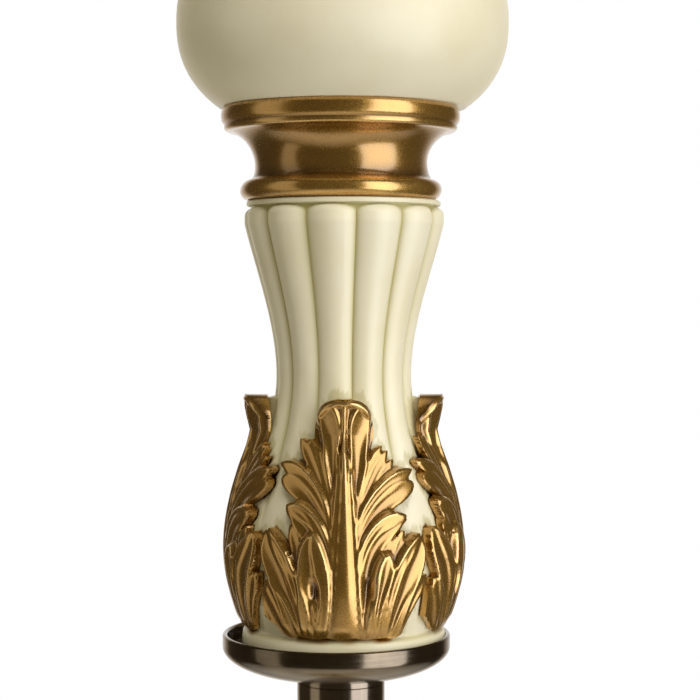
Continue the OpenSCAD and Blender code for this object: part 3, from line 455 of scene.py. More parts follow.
def leaf_surface(u, v):
    """Distance inside the leaf's outline and height over its back, in mm, at places across and along.

    The outline is the union of web, arched top and gouges. The height is the highest of web, gouges, whose hollows
    are parabolas between their rims, a round rib between two lips, and the band that rolls forward along the top."""
    web = np.interp(v, [0, 10, 18, 24, 30, 36, 42, 58, 61, 62.5], [14.5, 13.5, 11, 8.5, 7, 6, 5, 4, 3, -6])
    web = web - np.abs(u)
    top = 9 * np.interp(v, [34, 46, 54], [0.3, 0.66, 1])
    arch = top - ((0.83 * np.abs(u)) ** 2.4 + (0.88 * np.clip(v - 54, 0, None)) ** 2.4) ** (1 / 2.4)
    inside, height = np.maximum(web, arch), np.full(u.shape, 1.1)
    stand = np.interp(v, [0, 5, 12, 18, 24, 30, 37, 44, 50, 54, 58, 61, 65],
                      [1.8, 2.3, 3, 3.4, 3.8, 4.2, 4.6, 4.7, 4.4, 4.6, 5.6, 6.2, 5.8])
    near_rib = np.maximum(stand - 3.3, 0) * np.exp(-(u / 7) ** 2)
    for gouge in gouges:
        t, away, side = along_gouge(u, v, gouge)
        end = share_of(t, 0.72, 1)
        width = np.maximum(through(t, gouge[6:9]) * (1 - end ** 2) ** (0.5 if gouge[14] else 0.75), 1e-3)
        share = away / width
        rim = through(t, gouge[9:12]) + gouge[13] * side * np.minimum(share, 1) + near_rib
        hollow = gouge[12] * np.clip(1 - share ** 2, 0, 1) * np.sin(np.pi * (0.2 + 0.72 * t))
        edge = 0.7 * share_of(width - away, 0.45, 0) ** 2
        height = np.maximum(height, np.where(share < 1, rim - hollow - edge, 0))
        inside = np.maximum(inside, width - away)
    half = np.interp(v, [0, 10, 21, 37, 51, 58, 62], [4.4, 3.2, 2.4, 1.6, 1, 0.9, 0.9])
    crown = stand - 0.9 * (u / half) ** 2
    off_lip = np.clip(np.abs(np.abs(u) - half - 0.65) - 0.2, 0, None)
    lip = (stand - 0.5) * np.interp(v, [44, 54], [1, 0]) - 6 * off_lip ** 2
    height = np.maximum(height, stand - 1 - 0.04 * u ** 2 - 4 * share_of(v, 56, 50))
    beside = np.maximum(lip, height - 0.5)
    height = np.where(np.abs(u) < half + 0.2, np.where(np.abs(u) < half, crown, beside), np.maximum(height, lip))
    height = height - 1.5 * share_of(v, 44, 54) * np.clip(arch + 0.5, 0, 1) * (u / 10) ** 2
    rolled = 6.5 - 3.6 * (u / 10) ** 2 - 1.2 * ((arch - 1) / 0.9) ** 2 - 3.6 * share_of(v, 60, 55)
    height = np.where(v > 54, np.maximum(height, rolled), height)
    for across, along, wide, tall in eyes:
        height = height - 2.4 * np.exp(-((u - across) / wide) ** 2 - (np.abs(v - along) / tall) ** 3)
    root = share_of(v, -0.5, 3.5)
    ends = 0.7 + 4.5 * share_of(np.abs(u), 14.5, 22.5) ** 2 - 0.6 * np.abs(np.cos(u * 0.42 + 0.5))
    return np.minimum(inside, v - ends), np.maximum(1 + (height - 1) * root ** 2 * (3 - 2 * root), 0.35)


def blurred(values, inside, reach):
    """Mean of the values over a square window, three times over, that counts only the places inside."""
    for _ in range(3):
        for axis in (0, 1):
            sums = []
            for part in (np.where(inside, values, 0), inside.astype(float)):
                edge = [(reach + 1, reach) if k == axis else (0, 0) for k in (0, 1)]
                total = np.cumsum(np.pad(part, edge), axis=axis)
                span = 2 * reach + 1
                high = np.take(total, np.arange(span, total.shape[axis]), axis=axis)
                low = np.take(total, np.arange(0, total.shape[axis] - span), axis=axis)
                sums.append(high - low)
            values = sums[0] / np.maximum(sums[1], 1e-9)
    return values


def leaf_pattern(step):
    """Grid of a leaf: places across and along, height, hollow and ridge, and the faces of its closed solid.

    Places outside the outline slide onto it along the outline's gradient. Heights under their mean make hollows,
    and heights over it make ridges."""
    u, v = np.meshgrid(np.arange(-23.2, 23.3, step), np.arange(-2 * step, 65.5, step))
    shape = u.shape
    inside = leaf_surface(u.ravel(), v.ravel())[0].reshape(shape)
    slope_v, slope_u = np.gradient(inside, step)
    pull = np.where((inside < 0) & (inside > -1.8 * step), -inside / (slope_u ** 2 + slope_v ** 2 + 1e-3), 0)
    pull = np.clip(pull, 0, 1.8 * step)
    u, v = u + pull * slope_u, v + pull * slope_v
    known = inside > -step
    height = blurred(leaf_surface(u.ravel(), v.ravel())[1].reshape(shape), known, round(0.4 / step))
    # Hollow and ridge set the gilding's painted shade in recesses and painted highlight on crests, with glazing and
    # wear
    hollow = 0.85 * np.clip((blurred(height, known, round(1.1 / step)) - height) / 0.85, 0, 1)
    ridge = np.clip((height - blurred(height, known, round(0.6 / step))) / 0.35 - 0.15, 0, 1)
    corner = np.arange(u.size).reshape(shape)
    quads = np.stack([corner[:-1, :-1], corner[:-1, 1:], corner[1:, 1:], corner[1:, :-1]], axis=-1).reshape(-1, 4)
    flat = inside.ravel()[quads]
    quads = quads[(flat.max(axis=1) > 0) & (flat.min(axis=1) > -1.7 * step)]
    used, quads = np.unique(quads, return_inverse=True)
    quads = quads.reshape(-1, 4)
    count = len(used)
    edges = np.stack([quads, np.roll(quads, -1, axis=1)], axis=-1).reshape(-1, 2)
    lone = ~np.isin(edges[:, 0] * count + edges[:, 1], edges[:, 1] * count + edges[:, 0])
    rim = edges[lone]
    walls = np.stack([rim[:, 1], rim[:, 0], rim[:, 0] + count, rim[:, 1] + count], axis=-1)
    faces = np.concatenate([quads, quads[:, ::-1] + count, walls])
    pick = [np.tile(grid.ravel()[used], 2) for grid in (u, v, height, hollow, ridge)]
    for grid in pick[2:]:
        grid[count:] = 0
    return (*pick, faces)


def cast_leaf(name, node, pattern, points):
    """One leaf from its pattern and its places in metres. Its hollows are painted brown, partly as painted shade, and
    its ridges pale, partly as a painted highlight.
    """
    hollow, ridge, faces = pattern[3:]
    piece = new_piece(name, points, faces, gilt, smooth_below=50, shares={"hollow": hollow, "ridge": ridge})
    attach(piece, "root")
    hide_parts(node)


base_pattern = leaf_pattern(0.42)
u, v, height = base_pattern[:3]
w = np.radians(10 + 70 * v / leaf_long)
stand = 0.6 + 1.3 * height
radius = 88 - 50 * np.sin(w) + stand * np.sin(w)
level = shell_z + (27 + 51 * (1 - np.cos(w)) + stand * np.cos(w)) / 1000
sides = {"front": 0, "right": 90, "back": 180, "left": 270}
for side, turn in sides.items():
    angle = u / 30 * 31 / 43.5 + math.radians(turn)
    cast_leaf("gilt_base_leaf_" + side, "base_leaf_" + side, base_pattern, placed(radius, angle, level))

# Base collar: a turned gilt casting on top of the shell, its broad lip down and its bead up, clamped by the rod.
# The same casting stands the other way up under the ball, and this way up again on top of it.


def fine_profile(profile, spacing):
    """Splits the long sides of a closed profile so that none is longer than the spacing, in mm."""
    following = np.roll(profile, -1, axis=0)
    parts = np.maximum(1, np.ceil(np.hypot(*(following - profile).T) / spacing).astype(int))
    start = np.repeat(np.arange(len(profile)), parts)
    share = (np.arange(len(start)) - np.repeat(np.cumsum(parts) - parts, parts)) / parts[start]
    return profile[start] + (following - profile)[start] * share[:, None]


def hollows_of(profile, reach=1.4):
    """How hollow (above 0) or proud (below 0) each place of a closed profile is.

    The mean of the profile within the reach, taken along the way out of the metal, less the place itself."""
    spacing = 0.12
    dense = fine_profile(profile, spacing)
    window = np.ones(int(2 * reach / spacing) + 1)
    window /= len(window)
    pad = len(window)
    mean = np.stack([np.convolve(np.pad(c, pad, "wrap"), window, "same")[pad:-pad] for c in dense.T], axis=1)
    ahead = np.roll(dense, -3, axis=0) - np.roll(dense, 3, axis=0)
    out = np.stack([ahead[:, 1], -ahead[:, 0]], axis=1) / np.maximum(np.hypot(*ahead.T), 1e-9)[:, None]
    depth = ((mean - dense) * out).sum(axis=1)
    apart = profile[:, None] - dense[None]
    return depth[np.argmin(np.hypot(apart[..., 0], apart[..., 1]), axis=1)]


def gilt_turning(name, node, parts, z, flip=False, spacing=0.7, steps=192):
    """A turned gilt piece whose hollows are painted brown, partly glazing and partly painted shade, and whose edges are
    painted pale, partly rubbed wear and partly a painted highlight.
    """
    profile = fine_profile(joined(parts), spacing)
    on_axis = profile[:, 0] == 0
    profile = profile[~(on_axis & np.roll(on_axis, 1) & np.roll(on_axis, -1))]
    # The 5 mm reach browns the whole cove too: painted shade and painted reflection of the dark room and of the piece's
    # own gold
    depth = np.maximum(hollows_of(profile), 0.38 * hollows_of(profile, 5) - 0.03)
    if flip:
        profile, depth = (profile * [1, -1])[::-1], depth[::-1]
    shares = {"hollow": np.clip(depth / 0.35, 0, 1), "ridge": np.clip(-depth / 0.45 - 0.1, 0, 0.5)}
    piece = turned(name, [profile], gilt, z=z, steps=steps, shares=shares, uneven=0.26)
    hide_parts(node)


collar = [
    [[5.3, 0], [25, 0], [25.7, 0.15]],
    arc(25.6, 2.95, 2.95, 2.95, -72, 66, 18),
    [[26, 5.9], [25.3, 6.3]],
    arc(34, 10.2, 9.6, 9.6, -163, -252, 28),
    [[31.7, 19.4], [32.3, 19.55], [32.75, 19.9], [32.9, 20.4], [32.85, 20.9], [32.8, 21.2], [33, 21.5], [33.35, 21.9],
     [33.6, 22.5], [33.75, 23.5], [33.75, 24.6], [33.55, 25.6], [33.2, 26.1], [32.8, 26.3], [5.3, 26.3]],
]
gilt_turning("gilt_base_collar", "base_collar", collar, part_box("base_collar")[1].z, flip=True)

# Tube cups: spun cups of patinated brass that hold the ends of the two tubes and spread their load.
# Antique bronze finish: brass darkened with a liver patina, rubbed back in fine lines and lacquered.


def patinated_brass(name, dark, light, gloss, anisotropic=0):
    """Brass whose patina is rubbed in fine lines: round the axis on spun pieces, or along it on drawn tubes.

    The lines are noise of radius and height alone for the first, and noise squeezed along the height for the other."""
    material, tree, shader, place = new_material(name)
    if anisotropic:
        apart = add(tree, "SeparateXYZ", {0: place})
        flat = add(tree, "CombineXYZ", {0: apart.outputs[0], 1: apart.outputs[1]})
        out = add(tree, "VectorMath", {0: flat}, operation="LENGTH").outputs["Value"]
        strokes = add(tree, "CombineXYZ", {0: out, 2: apart.outputs[2]})
        tangent = add(tree, "Tangent", direction_type="RADIAL", axis="Z")
        wire(shader, {"Tangent": tangent, "Anisotropic": anisotropic, "Anisotropic Rotation": 0.25})
    else:
        strokes = add(tree, "Mapping", {"Vector": place, "Scale": (1, 1, 0.012)})
    brush = noise(strokes, 1100, 4, 0.7)
    patina = mixed(ranged(noise(place, 70, 4), (0.35, 0.7)), dark, light)
    wire(shader, {
        "Base Color": mixed(ranged(brush, (0.5, 0.8), (0, 0.3)), patina, "#C0AD90"),
        "Metallic": 1,
        "Roughness": ranged(brush, (0.3, 0.7), gloss),
        "Normal": bumped(0.025, 0.0002, brush),
        "Coat Weight": 0.6, "Coat Roughness": 0.08,
    })
    return material


spun_brass = patinated_brass("patinated_spun_brass", "#665A4C", "#8A7B66", (0.17, 0.25), anisotropic=0.5)
# Each cup in mm, some upside down: a flat face as broad as given, a hollow neck and a bead round the tube's seat
for node, broad, way in (("base_cup", 25.3, 1), ("upper_cup", 20, 1), ("top_cup", 26, -1)):
    low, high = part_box(node)
    parts = (
        [[5.3, 0], [broad - 1, 0], [broad - 0.2, 0.3], [broad, 1], [broad, 2.4], [broad - 0.4, 3.1], [broad - 1, 3.4]],
        arc(broad - 0.5, 12, broad - 14.5, 8.5, -97, -175, 24),
        arc(13.7, 12.8, 1.2, 1.2, -60, 90, 12),
        [[12.65, 14], [12.65, 9], [5.3, 9]],
    )
    cup = turned("bronzed_" + node, [np.array(part) * [1, way] for part in parts], spun_brass,
                 z=low.z if way > 0 else high.z)
    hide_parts(node)

# Tubes and rod: two drawn brass tubes, 25 mm across, clamped end to end by a hollow threaded rod with its nuts.
# The tubes carry the same brushed patina; rod, nuts and washer are zinc plated, and the plugs are moulded nylon.
drawn_brass = patinated_brass("patinated_drawn_brass", "#85786A", "#A39380", (0.12, 0.2))
finish_nodes(drawn_brass, "lower_tube", "upper_tube")
zinc, tree, shader, place = new_material("zinc_plated_steel")
threads = add(tree, "TexWave", {"Vector": place, "Scale": 160}, bands_direction="Z")
wire(shader, {
    "Base Color": mixed(noise(place, 240, 4), "#8E9092", "#C2C3C0"),
    "Metallic": 1, "Roughness": 0.34,
    "Normal": bumped(0.4, 0.0004, threads),
})
finish_nodes(zinc, "centre_rod")
steel, tree, shader, place = new_material("zinc_plated_pressed_steel")
clouds = noise(place, 300, 5)
wire(shader, {
    "Base Color": mixed(clouds, "#8A8C8F", "#C6C6C4"), "Metallic": 1,
    "Roughness": ranged(clouds, to=(0.25, 0.42)),
})
finish_nodes(steel, "rod_washer", "rod_nuts", "bulb_cap", "thread_shell")
nylon, tree, shader, place = new_material("moulded_black_nylon")
sparks = noise(place, 2200, 2)
wire(shader, {
    "Base Color": mixed(sparks, "#141414", "#262626"), "Roughness": 0.48,
    "Normal": bumped(0.25, 0.0002, sparks),
})
finish_nodes(nylon, "tube_plugs", "dish_spacer", "cable_gland", "internal_lead")

# Dish: a spun bowl of the same patinated brass on top of the lower tube, in which the foot of the vase stands.
# It sits 1.3 mm to the left of the rod in its loose hole, as on the real lamp.
dish = turned("bronzed_dish", [
    [[6.8, -11.6], [13, -11.6]],
    arc(10, -3.4, 22.4, 8.3, -80, 0, 48),
    arc(31.65, -0.6, 0.75, 0.75, 0, 180, 16),
    arc(10, -3.4, 20.9, 6.8, 0, -80, 48),
    [[6.8, -10.2]],
], spun_brass, z=rim_z, x=-0.0013, steps=256)
# Its hub is in line with the tube, with the fine seam where the two were soldered
hub = turned("bronzed_dish_hub", [
    [[6.8, -17.5], [12.5, -17.5], [12.5, -14.1], [12.3, -13.95], [12.5, -13.8], [12.5, -11], [6.8, -11]],
], drawn_brass, z=rim_z)
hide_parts("lower_dish")
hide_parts("lower_dish")

# Vase: a cast and cream painted body: round foot, belly inside the leaves, neck of twelve reeds, shoulder and lip.
# Its reeds are round, with narrow grooves between them, painted a darker yellow-green: partly yellowed paint, partly
# painted shade.
vase_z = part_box("vase")[0].z
vase_x, belly_top, neck_at, shoulder_top = 0.0008, 26, 77.5, 120.2
reeds, reed_depth = 12, 0.078
leaf_root, leaf_turn, leaf_bend, leaf_gap, leaf_backing = 7.8, 0.5, 30, 0.6, 21.6


def swell(t, slope=0):
    """A rise from 0 to 1 that starts flat, 3 t squared less 2 t cubed, with a slope at its end."""
    return 3 * t ** 2 - 2 * t ** 3 + slope * (t ** 3 - t ** 2)


def crest(z):
    """Radius of the vase's crests in mm: a sine belly, then swells to its neck and up to its shoulder."""
    belly = 27.1 + 3.2 * np.sin(np.pi / 2 * share_of(z, 6, belly_top))
    waist = 30.3 - 11.1 * swell(share_of(z, belly_top, neck_at))
    shoulder = 19.2 + 9.2 * swell(share_of(z, neck_at, shoulder_top), 1.15)
    return np.select([z <= belly_top, z <= neck_at, z <= shoulder_top], [belly, waist, shoulder], 28.4)


def reed(angle, rise=0):
    """How full a reed stands, 1 on its crest and 0 in the groove: 1 less across squared and rise cubed."""
    across = np.abs(((angle + 7.5) * reeds / 360 + 0.5) % 1 - 0.5) * 2
    return 1 - np.minimum(1, across ** 2 + rise ** 3)


def crinkle(a, b):
    """Slow unevenness of hand work, from -1 to 1: three sine waves that cross each other."""
    return (np.sin(a * 0.9 + 0.4 * b) + np.sin(b * 0.61 - 0.7 * a + 2) + np.sin((a + b) * 0.37 + 4)) / 3


def with_ends(foot, body, lip):
    """A grid of values whose first rows are the foot's and whose last rows the lip's, the same all the way round."""
    foot, lip = (np.repeat(np.reshape(end, (-1, 1)), body.shape[1], axis=1) for end in (foot, lip))
    return np.concatenate([foot, body, lip])


turn = np.linspace(0, 360, 384, endpoint=False)
z, angle = np.meshgrid(np.linspace(6.9, 124.8, 236), turn, indexing="ij")
fade = swell(share_of(z, belly_top, 65.5))
full = reed(angle, share_of(z, 122, 125))
radius = crest(z) * (1 - reed_depth * fade * (1 - full)) + 0.1 * crinkle(angle / 9, z / 6)
off_leaf = (angle - leaf_turn + 45) % 90 - 45
backing = leaf_backing * np.maximum(0, 1 - (np.abs(off_leaf) / 17) ** 4) * ((z < 71.3) & (z > belly_top))
foot = np.array([[6.8, 0], [27.9, 0], [28.5, 0.3], [28.8, 0.9], [28.9, 3.6], [28.6, 5.3], [28, 6.3]])
lip = np.array([[26.2, 125], [26.2, 125.1], [27.1, 125.15], [27.45, 125.4], [27.5, 125.9], [27.4, 126.4],
                [26.9, 126.7], [6.8, 126.7]])
radius = with_ends(foot[:, 0], np.maximum(radius, backing), lip[:, 0])
level = with_ends(foot[:, 1], z, lip[:, 1])
vase_points = placed(radius, np.radians(turn), vase_z + level / 1000, vase_x)
# Grooves, the top of the foot and the groove under the lip are painted a darker yellow-green, partly yellowed paint and
# partly painted shade. A ragged band of the same tint runs along the leaves' edges. Also the gold that the brush left
# on the cream along the leaves' edges and roots
groove = with_ends([0.15] * 6 + [0.6], fade * (1 - full) ** 4, [0.55] * 3 + [0.15] * 5)
across, along = np.radians(np.tile(off_leaf[0], len(level))) * leaf_bend, level.ravel() - leaf_root
over_root = along > 0
near = np.where(over_root, leaf_surface(across, np.maximum(along, 0.01))[0], -9)
spread = 0.3 + 0.35 * crinkle(across * 2.2, along * 2)
slop = 1.4 + 0.5 * crinkle(across * 0.8, along * 0.3)
under_root = np.clip((slop + along) / 0.6 + 0.5, 0, 1) * np.clip(15 - np.abs(across), 0, 1) * ~over_root
bled = (np.clip((near + spread) / 0.25, 0, 1) * over_root + under_root) * share_of(level.ravel(), 58, 54)
ragged = 2.4 + 1.5 * crinkle(across * 1.5, along * 1.3) + 0.8 * crinkle(across * 4.1, along * 3.7)
# A ragged band of the darker yellow-green along the leaves' edges
leaf_edge_tint = 0.5 * np.clip((near + ragged) / 1.1, 0, 1) * over_root
vase = new_piece("cream_reeded_vase", vase_points, closed_grid(vase_points), cream,
                 shares={"hollow": np.maximum(groove, leaf_edge_tint.reshape(groove.shape)), "gilt": np.clip(bled, 0, 1)})
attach(vase, "root")
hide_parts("vase")

# Vase leaves: four cast acanthus leaves around the belly, each nearly a quarter turn wide, rooted above the foot.
# Their rolled tips stand off the neck on a cream backing. The gold is painted pale on ribs and rims, partly rubbed wear
# and partly a painted highlight, and brown in their hollows, partly painted shade.
# Each is bent over an arc, stands off the vase or its backing by the gap, and its lowest 9 mm stretch by 0.9 mm
vase_pattern = leaf_pattern(0.27)
u, v, height = vase_pattern[:3]
z = leaf_root + v - 0.9 * share_of(v, 9, 0)
radius = np.maximum(crest(z), leaf_backing) + leaf_gap + np.where(height > 0, height, -0.45)
for side, turn in sides.items():
    leaf_points = placed(radius, u / leaf_bend + math.radians(leaf_turn + turn), vase_z + z / 1000, vase_x)
    cast_leaf("gilt_vase_leaf_" + side, "leaf_" + side, vase_pattern, leaf_points)

# Lower collar: the gilt casting that clamps the vase's lip from above, its broad lip under the ball.
gilt_turning("gilt_lower_collar", "lower_collar", collar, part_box("lower_collar")[0].z)

# Ball: a casting with a bore for the rod, a little fuller than an ellipsoid, in the same cream as vase and shell.
ball_low, ball_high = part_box("ball")
ball_half, ball_r, fullness = 23.5, 46.8, 2.3
level = ball_half * np.sin(np.radians(np.linspace(-90, 90, 120)))
ball_side = ball_r * (1 - (np.abs(level) / 32) ** fullness) ** (1 / fullness)
ball = turned("cream_ball", [[[6.8, -ball_half]], np.stack([ball_side, level], axis=1), [[6.8, ball_half]]],
              cream, z=(ball_low.z + ball_high.z) / 2, x=0.0005, steps=288)
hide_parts("ball")

# Upper collar: the third of the gilt castings, its broad lip on the ball and its bead under the reeded neck.
gilt_turning("gilt_upper_collar", "upper_collar", collar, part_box("upper_collar")[1].z, flip=True)

# Upper neck: a cast cream neck with twelve reeds that leads from the ball to the upper tube.
neck_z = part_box("upper_neck")[0].z
narrow_at = 65.52
turn = np.linspace(0, 360, 288, endpoint=False)
z, angle = np.meshgrid(np.linspace(6, 79, 150), turn, indexing="ij")
down = 28.4 - 12.4 * swell(share_of(z, 6, narrow_at), -0.8)
end = 16 + 3.5 * swell(share_of(z, narrow_at, 79), 1)
full = reed(angle, share_of(z, 9, 6) + share_of(z, 76, 79))
radius = np.where(z < narrow_at, down, end) * (1 - reed_depth * (1 - full))
foot = np.array([[5.3, 0], [26.9, 0], [27.5, 0.4], [27.6, 1.2], [27.4, 2], [26.6, 2.6], [26.2, 3.2], [26.2, 5.2]])
lip = np.array([[18.3, 80], [18.9, 80.4], [20.6, 80.8], [21, 81.3], [21, 83.4], [20.6, 84], [5.3, 84]])
neck_points = placed(with_ends(foot[:, 0], radius, lip[:, 0]), np.radians(turn),
                     neck_z + with_ends(foot[:, 1], z, lip[:, 1]) / 1000)
# Grooves, foot and lip are painted a darker yellow-green, partly yellowed paint and partly painted shade
neck = new_piece("cream_reeded_neck", neck_points, closed_grid(neck_points), cream,
                 shares={"hollow": with_ends([0.2] * 8, (1 - full) ** 4, [0.1] * 7)})
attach(neck, "root")
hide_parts("upper_neck")

# Lampholder: a drawn brass cap and shell on the end of the rod, with a pressed paper liner and a phenolic block.
# Brass here is bright drawn sheet under clear lacquer, a little cloudy, with the fine rings of the spinning lathe.
brass, tree, shader, place = new_material("lacquered_drawn_brass")
clouds = noise(place, 120, 4)
rings = add(tree, "Mapping", {"Vector": place, "Scale": (0.05, 0.05, 1)})
wire(shader, {
    "Base Color": mixed(clouds, "#B48F48", "#D6B46C"), "Metallic": 1,
    "Roughness": ranged(clouds, to=(0.16, 0.3)),
    "Normal": bumped(0.1, 0.0001, noise(rings, 2600, 2)),
})
finish_nodes(brass, "socket_cap", "socket_shell", "centre_contact", "switch_bushing", "switch_shaft",
             "harp_saddle", "shade_spider", "shade_bottom_wire")
kraft, tree, shader, place = new_material("pressed_kraft_paper")
pulp = noise(place, 900, 5, 0.7)
wire(shader, {
    "Base Color": mixed(pulp, "#6E5234", "#A88460"), "Roughness": 0.85,
    "Normal": bumped(0.4, 0.0002, pulp),
})
finish_nodes(kraft, "socket_liner")
phenolic, tree, shader, place = new_material("moulded_phenolic")
filler = noise(place, 500, 4)
wire(shader, {
    "Base Color": mixed(filler, "#120D0A", "#2A1E16"),
    "Roughness": ranged(filler, to=(0.18, 0.34)),
    "Normal": bumped(0.1, 0.0002, filler),
})
finish_nodes(phenolic, "switch_body")

# Turn key: a moulded phenolic grip pressed on the switch shaft; it turns endlessly and clicks the lamp on and off.
# Its stem is round and its grip flat, with fine ribs for the fingers on both faces.
knob_low, knob_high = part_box("switch_knob")
key_z, key_start, key_long = (knob_low.z + knob_high.z) / 2, -knob_high.y * 1000, 14
t = np.concatenate([[0.43, 0.43, 0], np.linspace(0, 1, 44), [1]])
half_x = np.interp(t, [0, 0.3, 0.42, 0.55, 0.72, 0.88, 0.96, 1], [3.9, 4.2, 4.6, 7, 8, 7.8, 6.6, 4.6])
half_z = np.interp(t, [0, 0.3, 0.42, 0.55, 0.72, 0.9, 0.97, 1], [3.9, 4.2, 3.7, 2.2, 1.9, 1.9, 1.5, 0.8])
half_x[[0, -1]], half_z[[0, -1]] = 0, 0
half_x[1:3], half_z[1:3] = 1.53, 1.53
a = even_angles(72)
across = half_x[:, None] * np.sign(np.cos(a)) * np.abs(np.cos(a)) ** 0.85
up = half_z[:, None] * np.sign(np.sin(a)) * np.abs(np.sin(a)) ** 0.85
ribs = 0.16 * np.cos(across * 2 * np.pi / 1.7) * np.sin(a) * share_of(t[:, None], 0.55, 0.7)
ribs[[0, 1, 2, -2, -1]] = 0
back = np.repeat(-(key_start + key_long * t)[:, None], len(a), axis=1)
key_points = np.stack([across, back, up + ribs], axis=-1) / 1000 + [0, 0, key_z]
key = new_piece("moulded_turn_key", key_points, closed_grid(key_points)[:-len(a)], phenolic, poles=True)
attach(key, "switch")
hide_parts("switch_knob")

# Bulb: a blown opal glass globe cemented in a screw cap of plated steel, which screws into the holder.
# Opal glass is milk white through its whole wall, so the globe looks like porcelain, with a sharp gloss.
opal, tree, shader, place = new_material("blown_opal_glass")
milk = noise(place, 45, 2)
wire(shader, {"Base Color": mixed(milk, "#ECE8DC", "#F6F3EA"), "Roughness": 0.12, "IOR": 1.5})
t = np.linspace(0, 1, 30)
stem = np.stack([12.6 + 13.38 * swell(t), 39 * t], axis=1)
globe = turned("opal_globe", [[[0, 0], [12.2, 0]], stem, arc(0, 54, 30, 30, -28, 90, 60)[:-1], [[0, 84]]],
               opal, z=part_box("bulb_glass")[0].z, steps=128)
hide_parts("bulb_glass")

# Harp: a bent brass wire in the two sleeves of its saddle, round at the top, with the stud that carries the shade.
# The wire is 3.8 mm thick and springs apart, so it can be lifted out of the sleeves.
saddle_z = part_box("harp_saddle")[0].z * 1000
leg_z, harp_top, wire_r, bow_r = saddle_z + 18, saddle_z + 256.6, 1.9, 57
leg = np.concatenate([
    [[29, saddle_z + 1.6]],
    arc(49, leg_z, 20, 20, 180, 160, 8),
    arc(37, leg_z + 83.98, 20, 20, -20, 0, 8),
    arc(0, harp_top - bow_r, bow_r, bow_r, 0, 90, 30),
])
path = np.concatenate([leg * [-1, 1], leg[-2::-1]])
path = np.concatenate([path[:1], path, path[-1:]])
thick = np.concatenate([[0], np.full(len(path) - 2, wire_r), [0]])[:, None]
ahead = np.gradient(np.concatenate([path[1:2] - [0, 1], path[1:-1], path[-2:-1] - [0, 1]]), axis=0)
ahead[[0, 1]], ahead[[-2, -1]] = [0, 1], [0, -1]
ahead /= np.hypot(*ahead.T)[:, None]
a = even_angles(20)
out = thick * np.sin(a)
across, up = path[:, :1] - ahead[:, 1:] * out, path[:, 1:] + ahead[:, :1] * out
wire_points = np.stack([across, thick * np.cos(a), up], axis=-1) / 1000
harp = new_piece("brass_harp", wire_points, closed_grid(wire_points)[:-len(a)], brass, poles=True)
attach(harp, "root")
stud = turned("brass_harp_stud", [
    [[0, 0], [5.4, 0], [6, 0.6], [6, 4.3], [5.4, 4.9], [3, 4.9]],
    np.stack([3 - 0.25 * (np.arange(60) % 4 // 2), 6.5 + 0.22 * np.arange(60)], axis=1),
    [[2.6, 20.2], [0, 20.4]],
], brass, z=harp_top / 1000, steps=48)
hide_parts("harp")
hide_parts("harp")

# Shade: an empire shade of natural linen on a stiff lining, glued to its two wire rings, with a seam at the back.
# Slubby plain weave; the threads are drawn 1.1 mm apart, about twice the real spacing, so that they show.
linen, tree, shader, place = new_material("plain_woven_linen")
cut = add(tree, "UVMap", uv_map="cut").outputs["UV"]
warp_in = add(tree, "Mapping", {"Vector": cut, "Scale": (1, 0.03, 1)})
weft_in = add(tree, "Mapping", {"Vector": cut, "Scale": (0.03, 1, 1)})
slubs = add(tree, "Mix", {0: 0.5, 2: noise(warp_in, 520, 3, 0.6), 3: noise(weft_in, 520, 3, 0.6)})
threads_per_metre = 910
threads = {"Vector": cut, "Scale": threads_per_metre / 6.2832}
warp, weft = (add(tree, "TexWave", threads, bands_direction=way).outputs["Fac"] for way in "XY")
weave = add(tree, "Math", {0: warp, 1: weft}, operation="MULTIPLY")
spread = ranged(slubs, (0.35, 0.65))
yarn = mixed(spread, "#CFC0A0", "#E8DFC8")
wire(shader, {
    "Base Color": mixed(ranged(weave, (0, 0.5), (0.3, 0)), yarn, "#A08F6C"),
    "Roughness": 0.88, "Sheen Weight": 0.15,
    "Normal": bumped(0.35, 0.0004, add(tree, "Math", {0: weave, 1: spread}, operation="ADD")),
})
shade_low, shade_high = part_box("shade_fabric")
bottom_r, narrowing, flat_share = 210, 98, 0.3303
turn = np.linspace(0, 2 * np.pi, 361) - np.pi
share = np.linspace(0, 1, 26)
outer = bottom_r - narrowing * share
lap = np.where(np.abs(turn) > np.pi - 0.055, 0.35, 0)[:-1]
shell_r = np.concatenate([outer[:, None] - 0.35 + lap, np.repeat(outer[::-1, None] - 1, len(lap), axis=1)])
level = np.concatenate([share, share[::-1]]) * (shade_high.z - shade_low.z) + shade_low.z
shade_points = placed(shell_r, turn[:-1], level[:, None])
shade = new_piece("linen_shade", shade_points, closed_grid(shade_points), linen)
# Each place of the cloth as it lies in the flat cut: a ring sector, at the slant distance and a share of the turn
slant = np.concatenate([outer, outer[::-1], outer[:1]])[:, None] / flat_share / 1000
flat = np.stack([slant * np.sin(turn * flat_share), slant * np.cos(turn * flat_share)], axis=-1)
corners = np.stack([flat[:-1, :-1], flat[:-1, 1:], flat[1:, 1:], flat[1:, :-1]], axis=2)
shade.data.uv_layers.new(name="cut").data.foreach_set("uv", corners.astype(np.float32).ravel())
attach(shade, "root")
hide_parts("shade_fabric")

# Braids: a woven gimp of gold thread glued along each edge of the shade, two twisted cords with a plait between.
# The thread is gilt foil round a cotton core, so it glints along its crowns. Between the crowns and on its back it is
# painted brown, as painted shade.
braid, tree, shader, place = new_material("woven_gold_gimp")
hollow, foil = share_on(tree, "hollow"), noise(place, 1500, 2)
wire(shader, {
    "Base Color": mixed(hollow, mixed(foil, "#A88238", "#D9BC7C"), "#5A4220"),
    "Metallic": 0.35, "Roughness": 0.5,
    "Normal": bumped(0.3, 0.0002, foil),
})


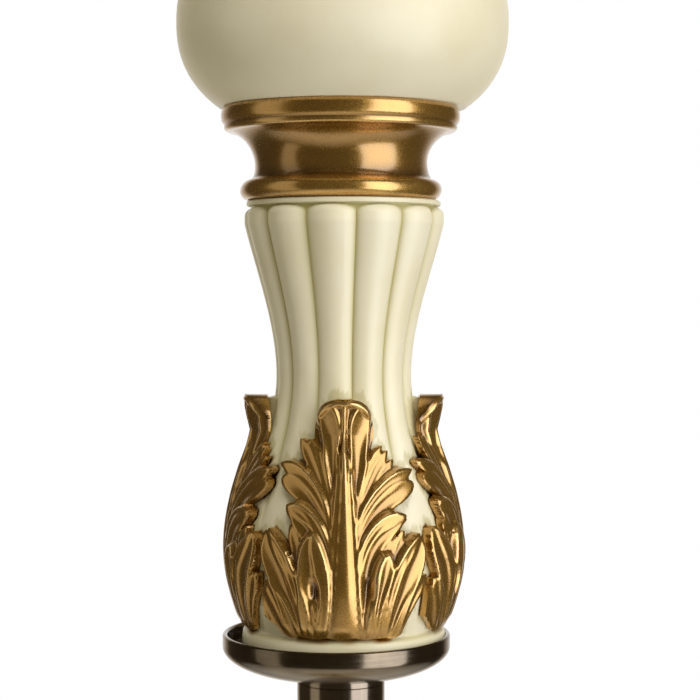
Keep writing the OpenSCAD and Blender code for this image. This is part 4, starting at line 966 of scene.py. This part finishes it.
def gimp(name, node, foot_z, repeats):
    """A braid 14 mm wide round the cone: twisted cords at its edges, and a plait of strands that cross between."""
    columns = repeats * 8
    s = np.linspace(0, 14, 19)[:, None]
    turn = even_angles(columns)
    phase = turn * repeats / 2
    edge = np.minimum(np.abs(s - 1.7), np.abs(s - 12.3)) / 1.7
    cord = np.sqrt(np.clip(1 - edge ** 2, 0, 1)) * (1.1 + 0.45 * np.abs(np.sin(phase * 2 + s * 1.2)))
    strand = np.maximum(np.abs(np.sin(phase + s * 0.62)), np.abs(np.sin(phase - s * 0.62)))
    plait = np.where((s > 3.2) & (s < 10.8), 0.35 + 0.85 * strand ** 2, 0)
    stand = np.maximum(np.maximum(cord, plait), 0.25)
    radius = bottom_r - narrowing * (foot_z + s / 1000 - shade_low.z) / (shade_high.z - shade_low.z) + 0.15
    back = np.repeat(radius[::-1], columns, axis=1)
    points = placed(np.concatenate([radius + stand, back]), turn, np.concatenate([s, s[::-1]]) / 1000 + foot_z)
    # Painted shade: the lower a place stands the browner it is, and the back is brown all over
    low = np.concatenate([np.clip(1.15 - stand, 0, 1), np.ones_like(back)])
    piece = new_piece(name, points, closed_grid(points), braid, smooth_below=60, shares={"hollow": low})
    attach(piece, "root")
    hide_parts(node)
    return piece


top_gimp = gimp("gold_gimp_top", "shade_top_trim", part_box("shade_top_trim")[0].z, 172)
bottom_gimp = gimp("gold_gimp_bottom", "shade_bottom_trim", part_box("shade_bottom_trim")[0].z, 320)

# Finial: a turned and gilt knob on the stud of the harp, which clamps the hub of the shade from above.
gilt_turning("gilt_finial", "finial", [
    [[0, 14.5], [3.05, 14.5], [3.05, 0], [8.5, 0], [8.9, 0.3], [9, 0.9], [9, 2.3], [8.8, 2.8], [8, 3.2]],
    [[6.2, 4.1], [5.1, 5.4], [4.6, 7.2], [4.7, 9.2], [5.4, 10.6], [6.4, 11.4], [8.4, 12.2], [9, 12.9], [8.9, 13.8]],
    arc(0, 26, 10.5, 12, -44, 64, 40),
    [[3.6, 38.6], [3.3, 39.6], [3.9, 40.4], [4.2, 41.4], [3.9, 42.5], [3, 43.3], [1.6, 43.8], [0, 44]],
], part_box("finial")[0].z, spacing=0.6, steps=96)
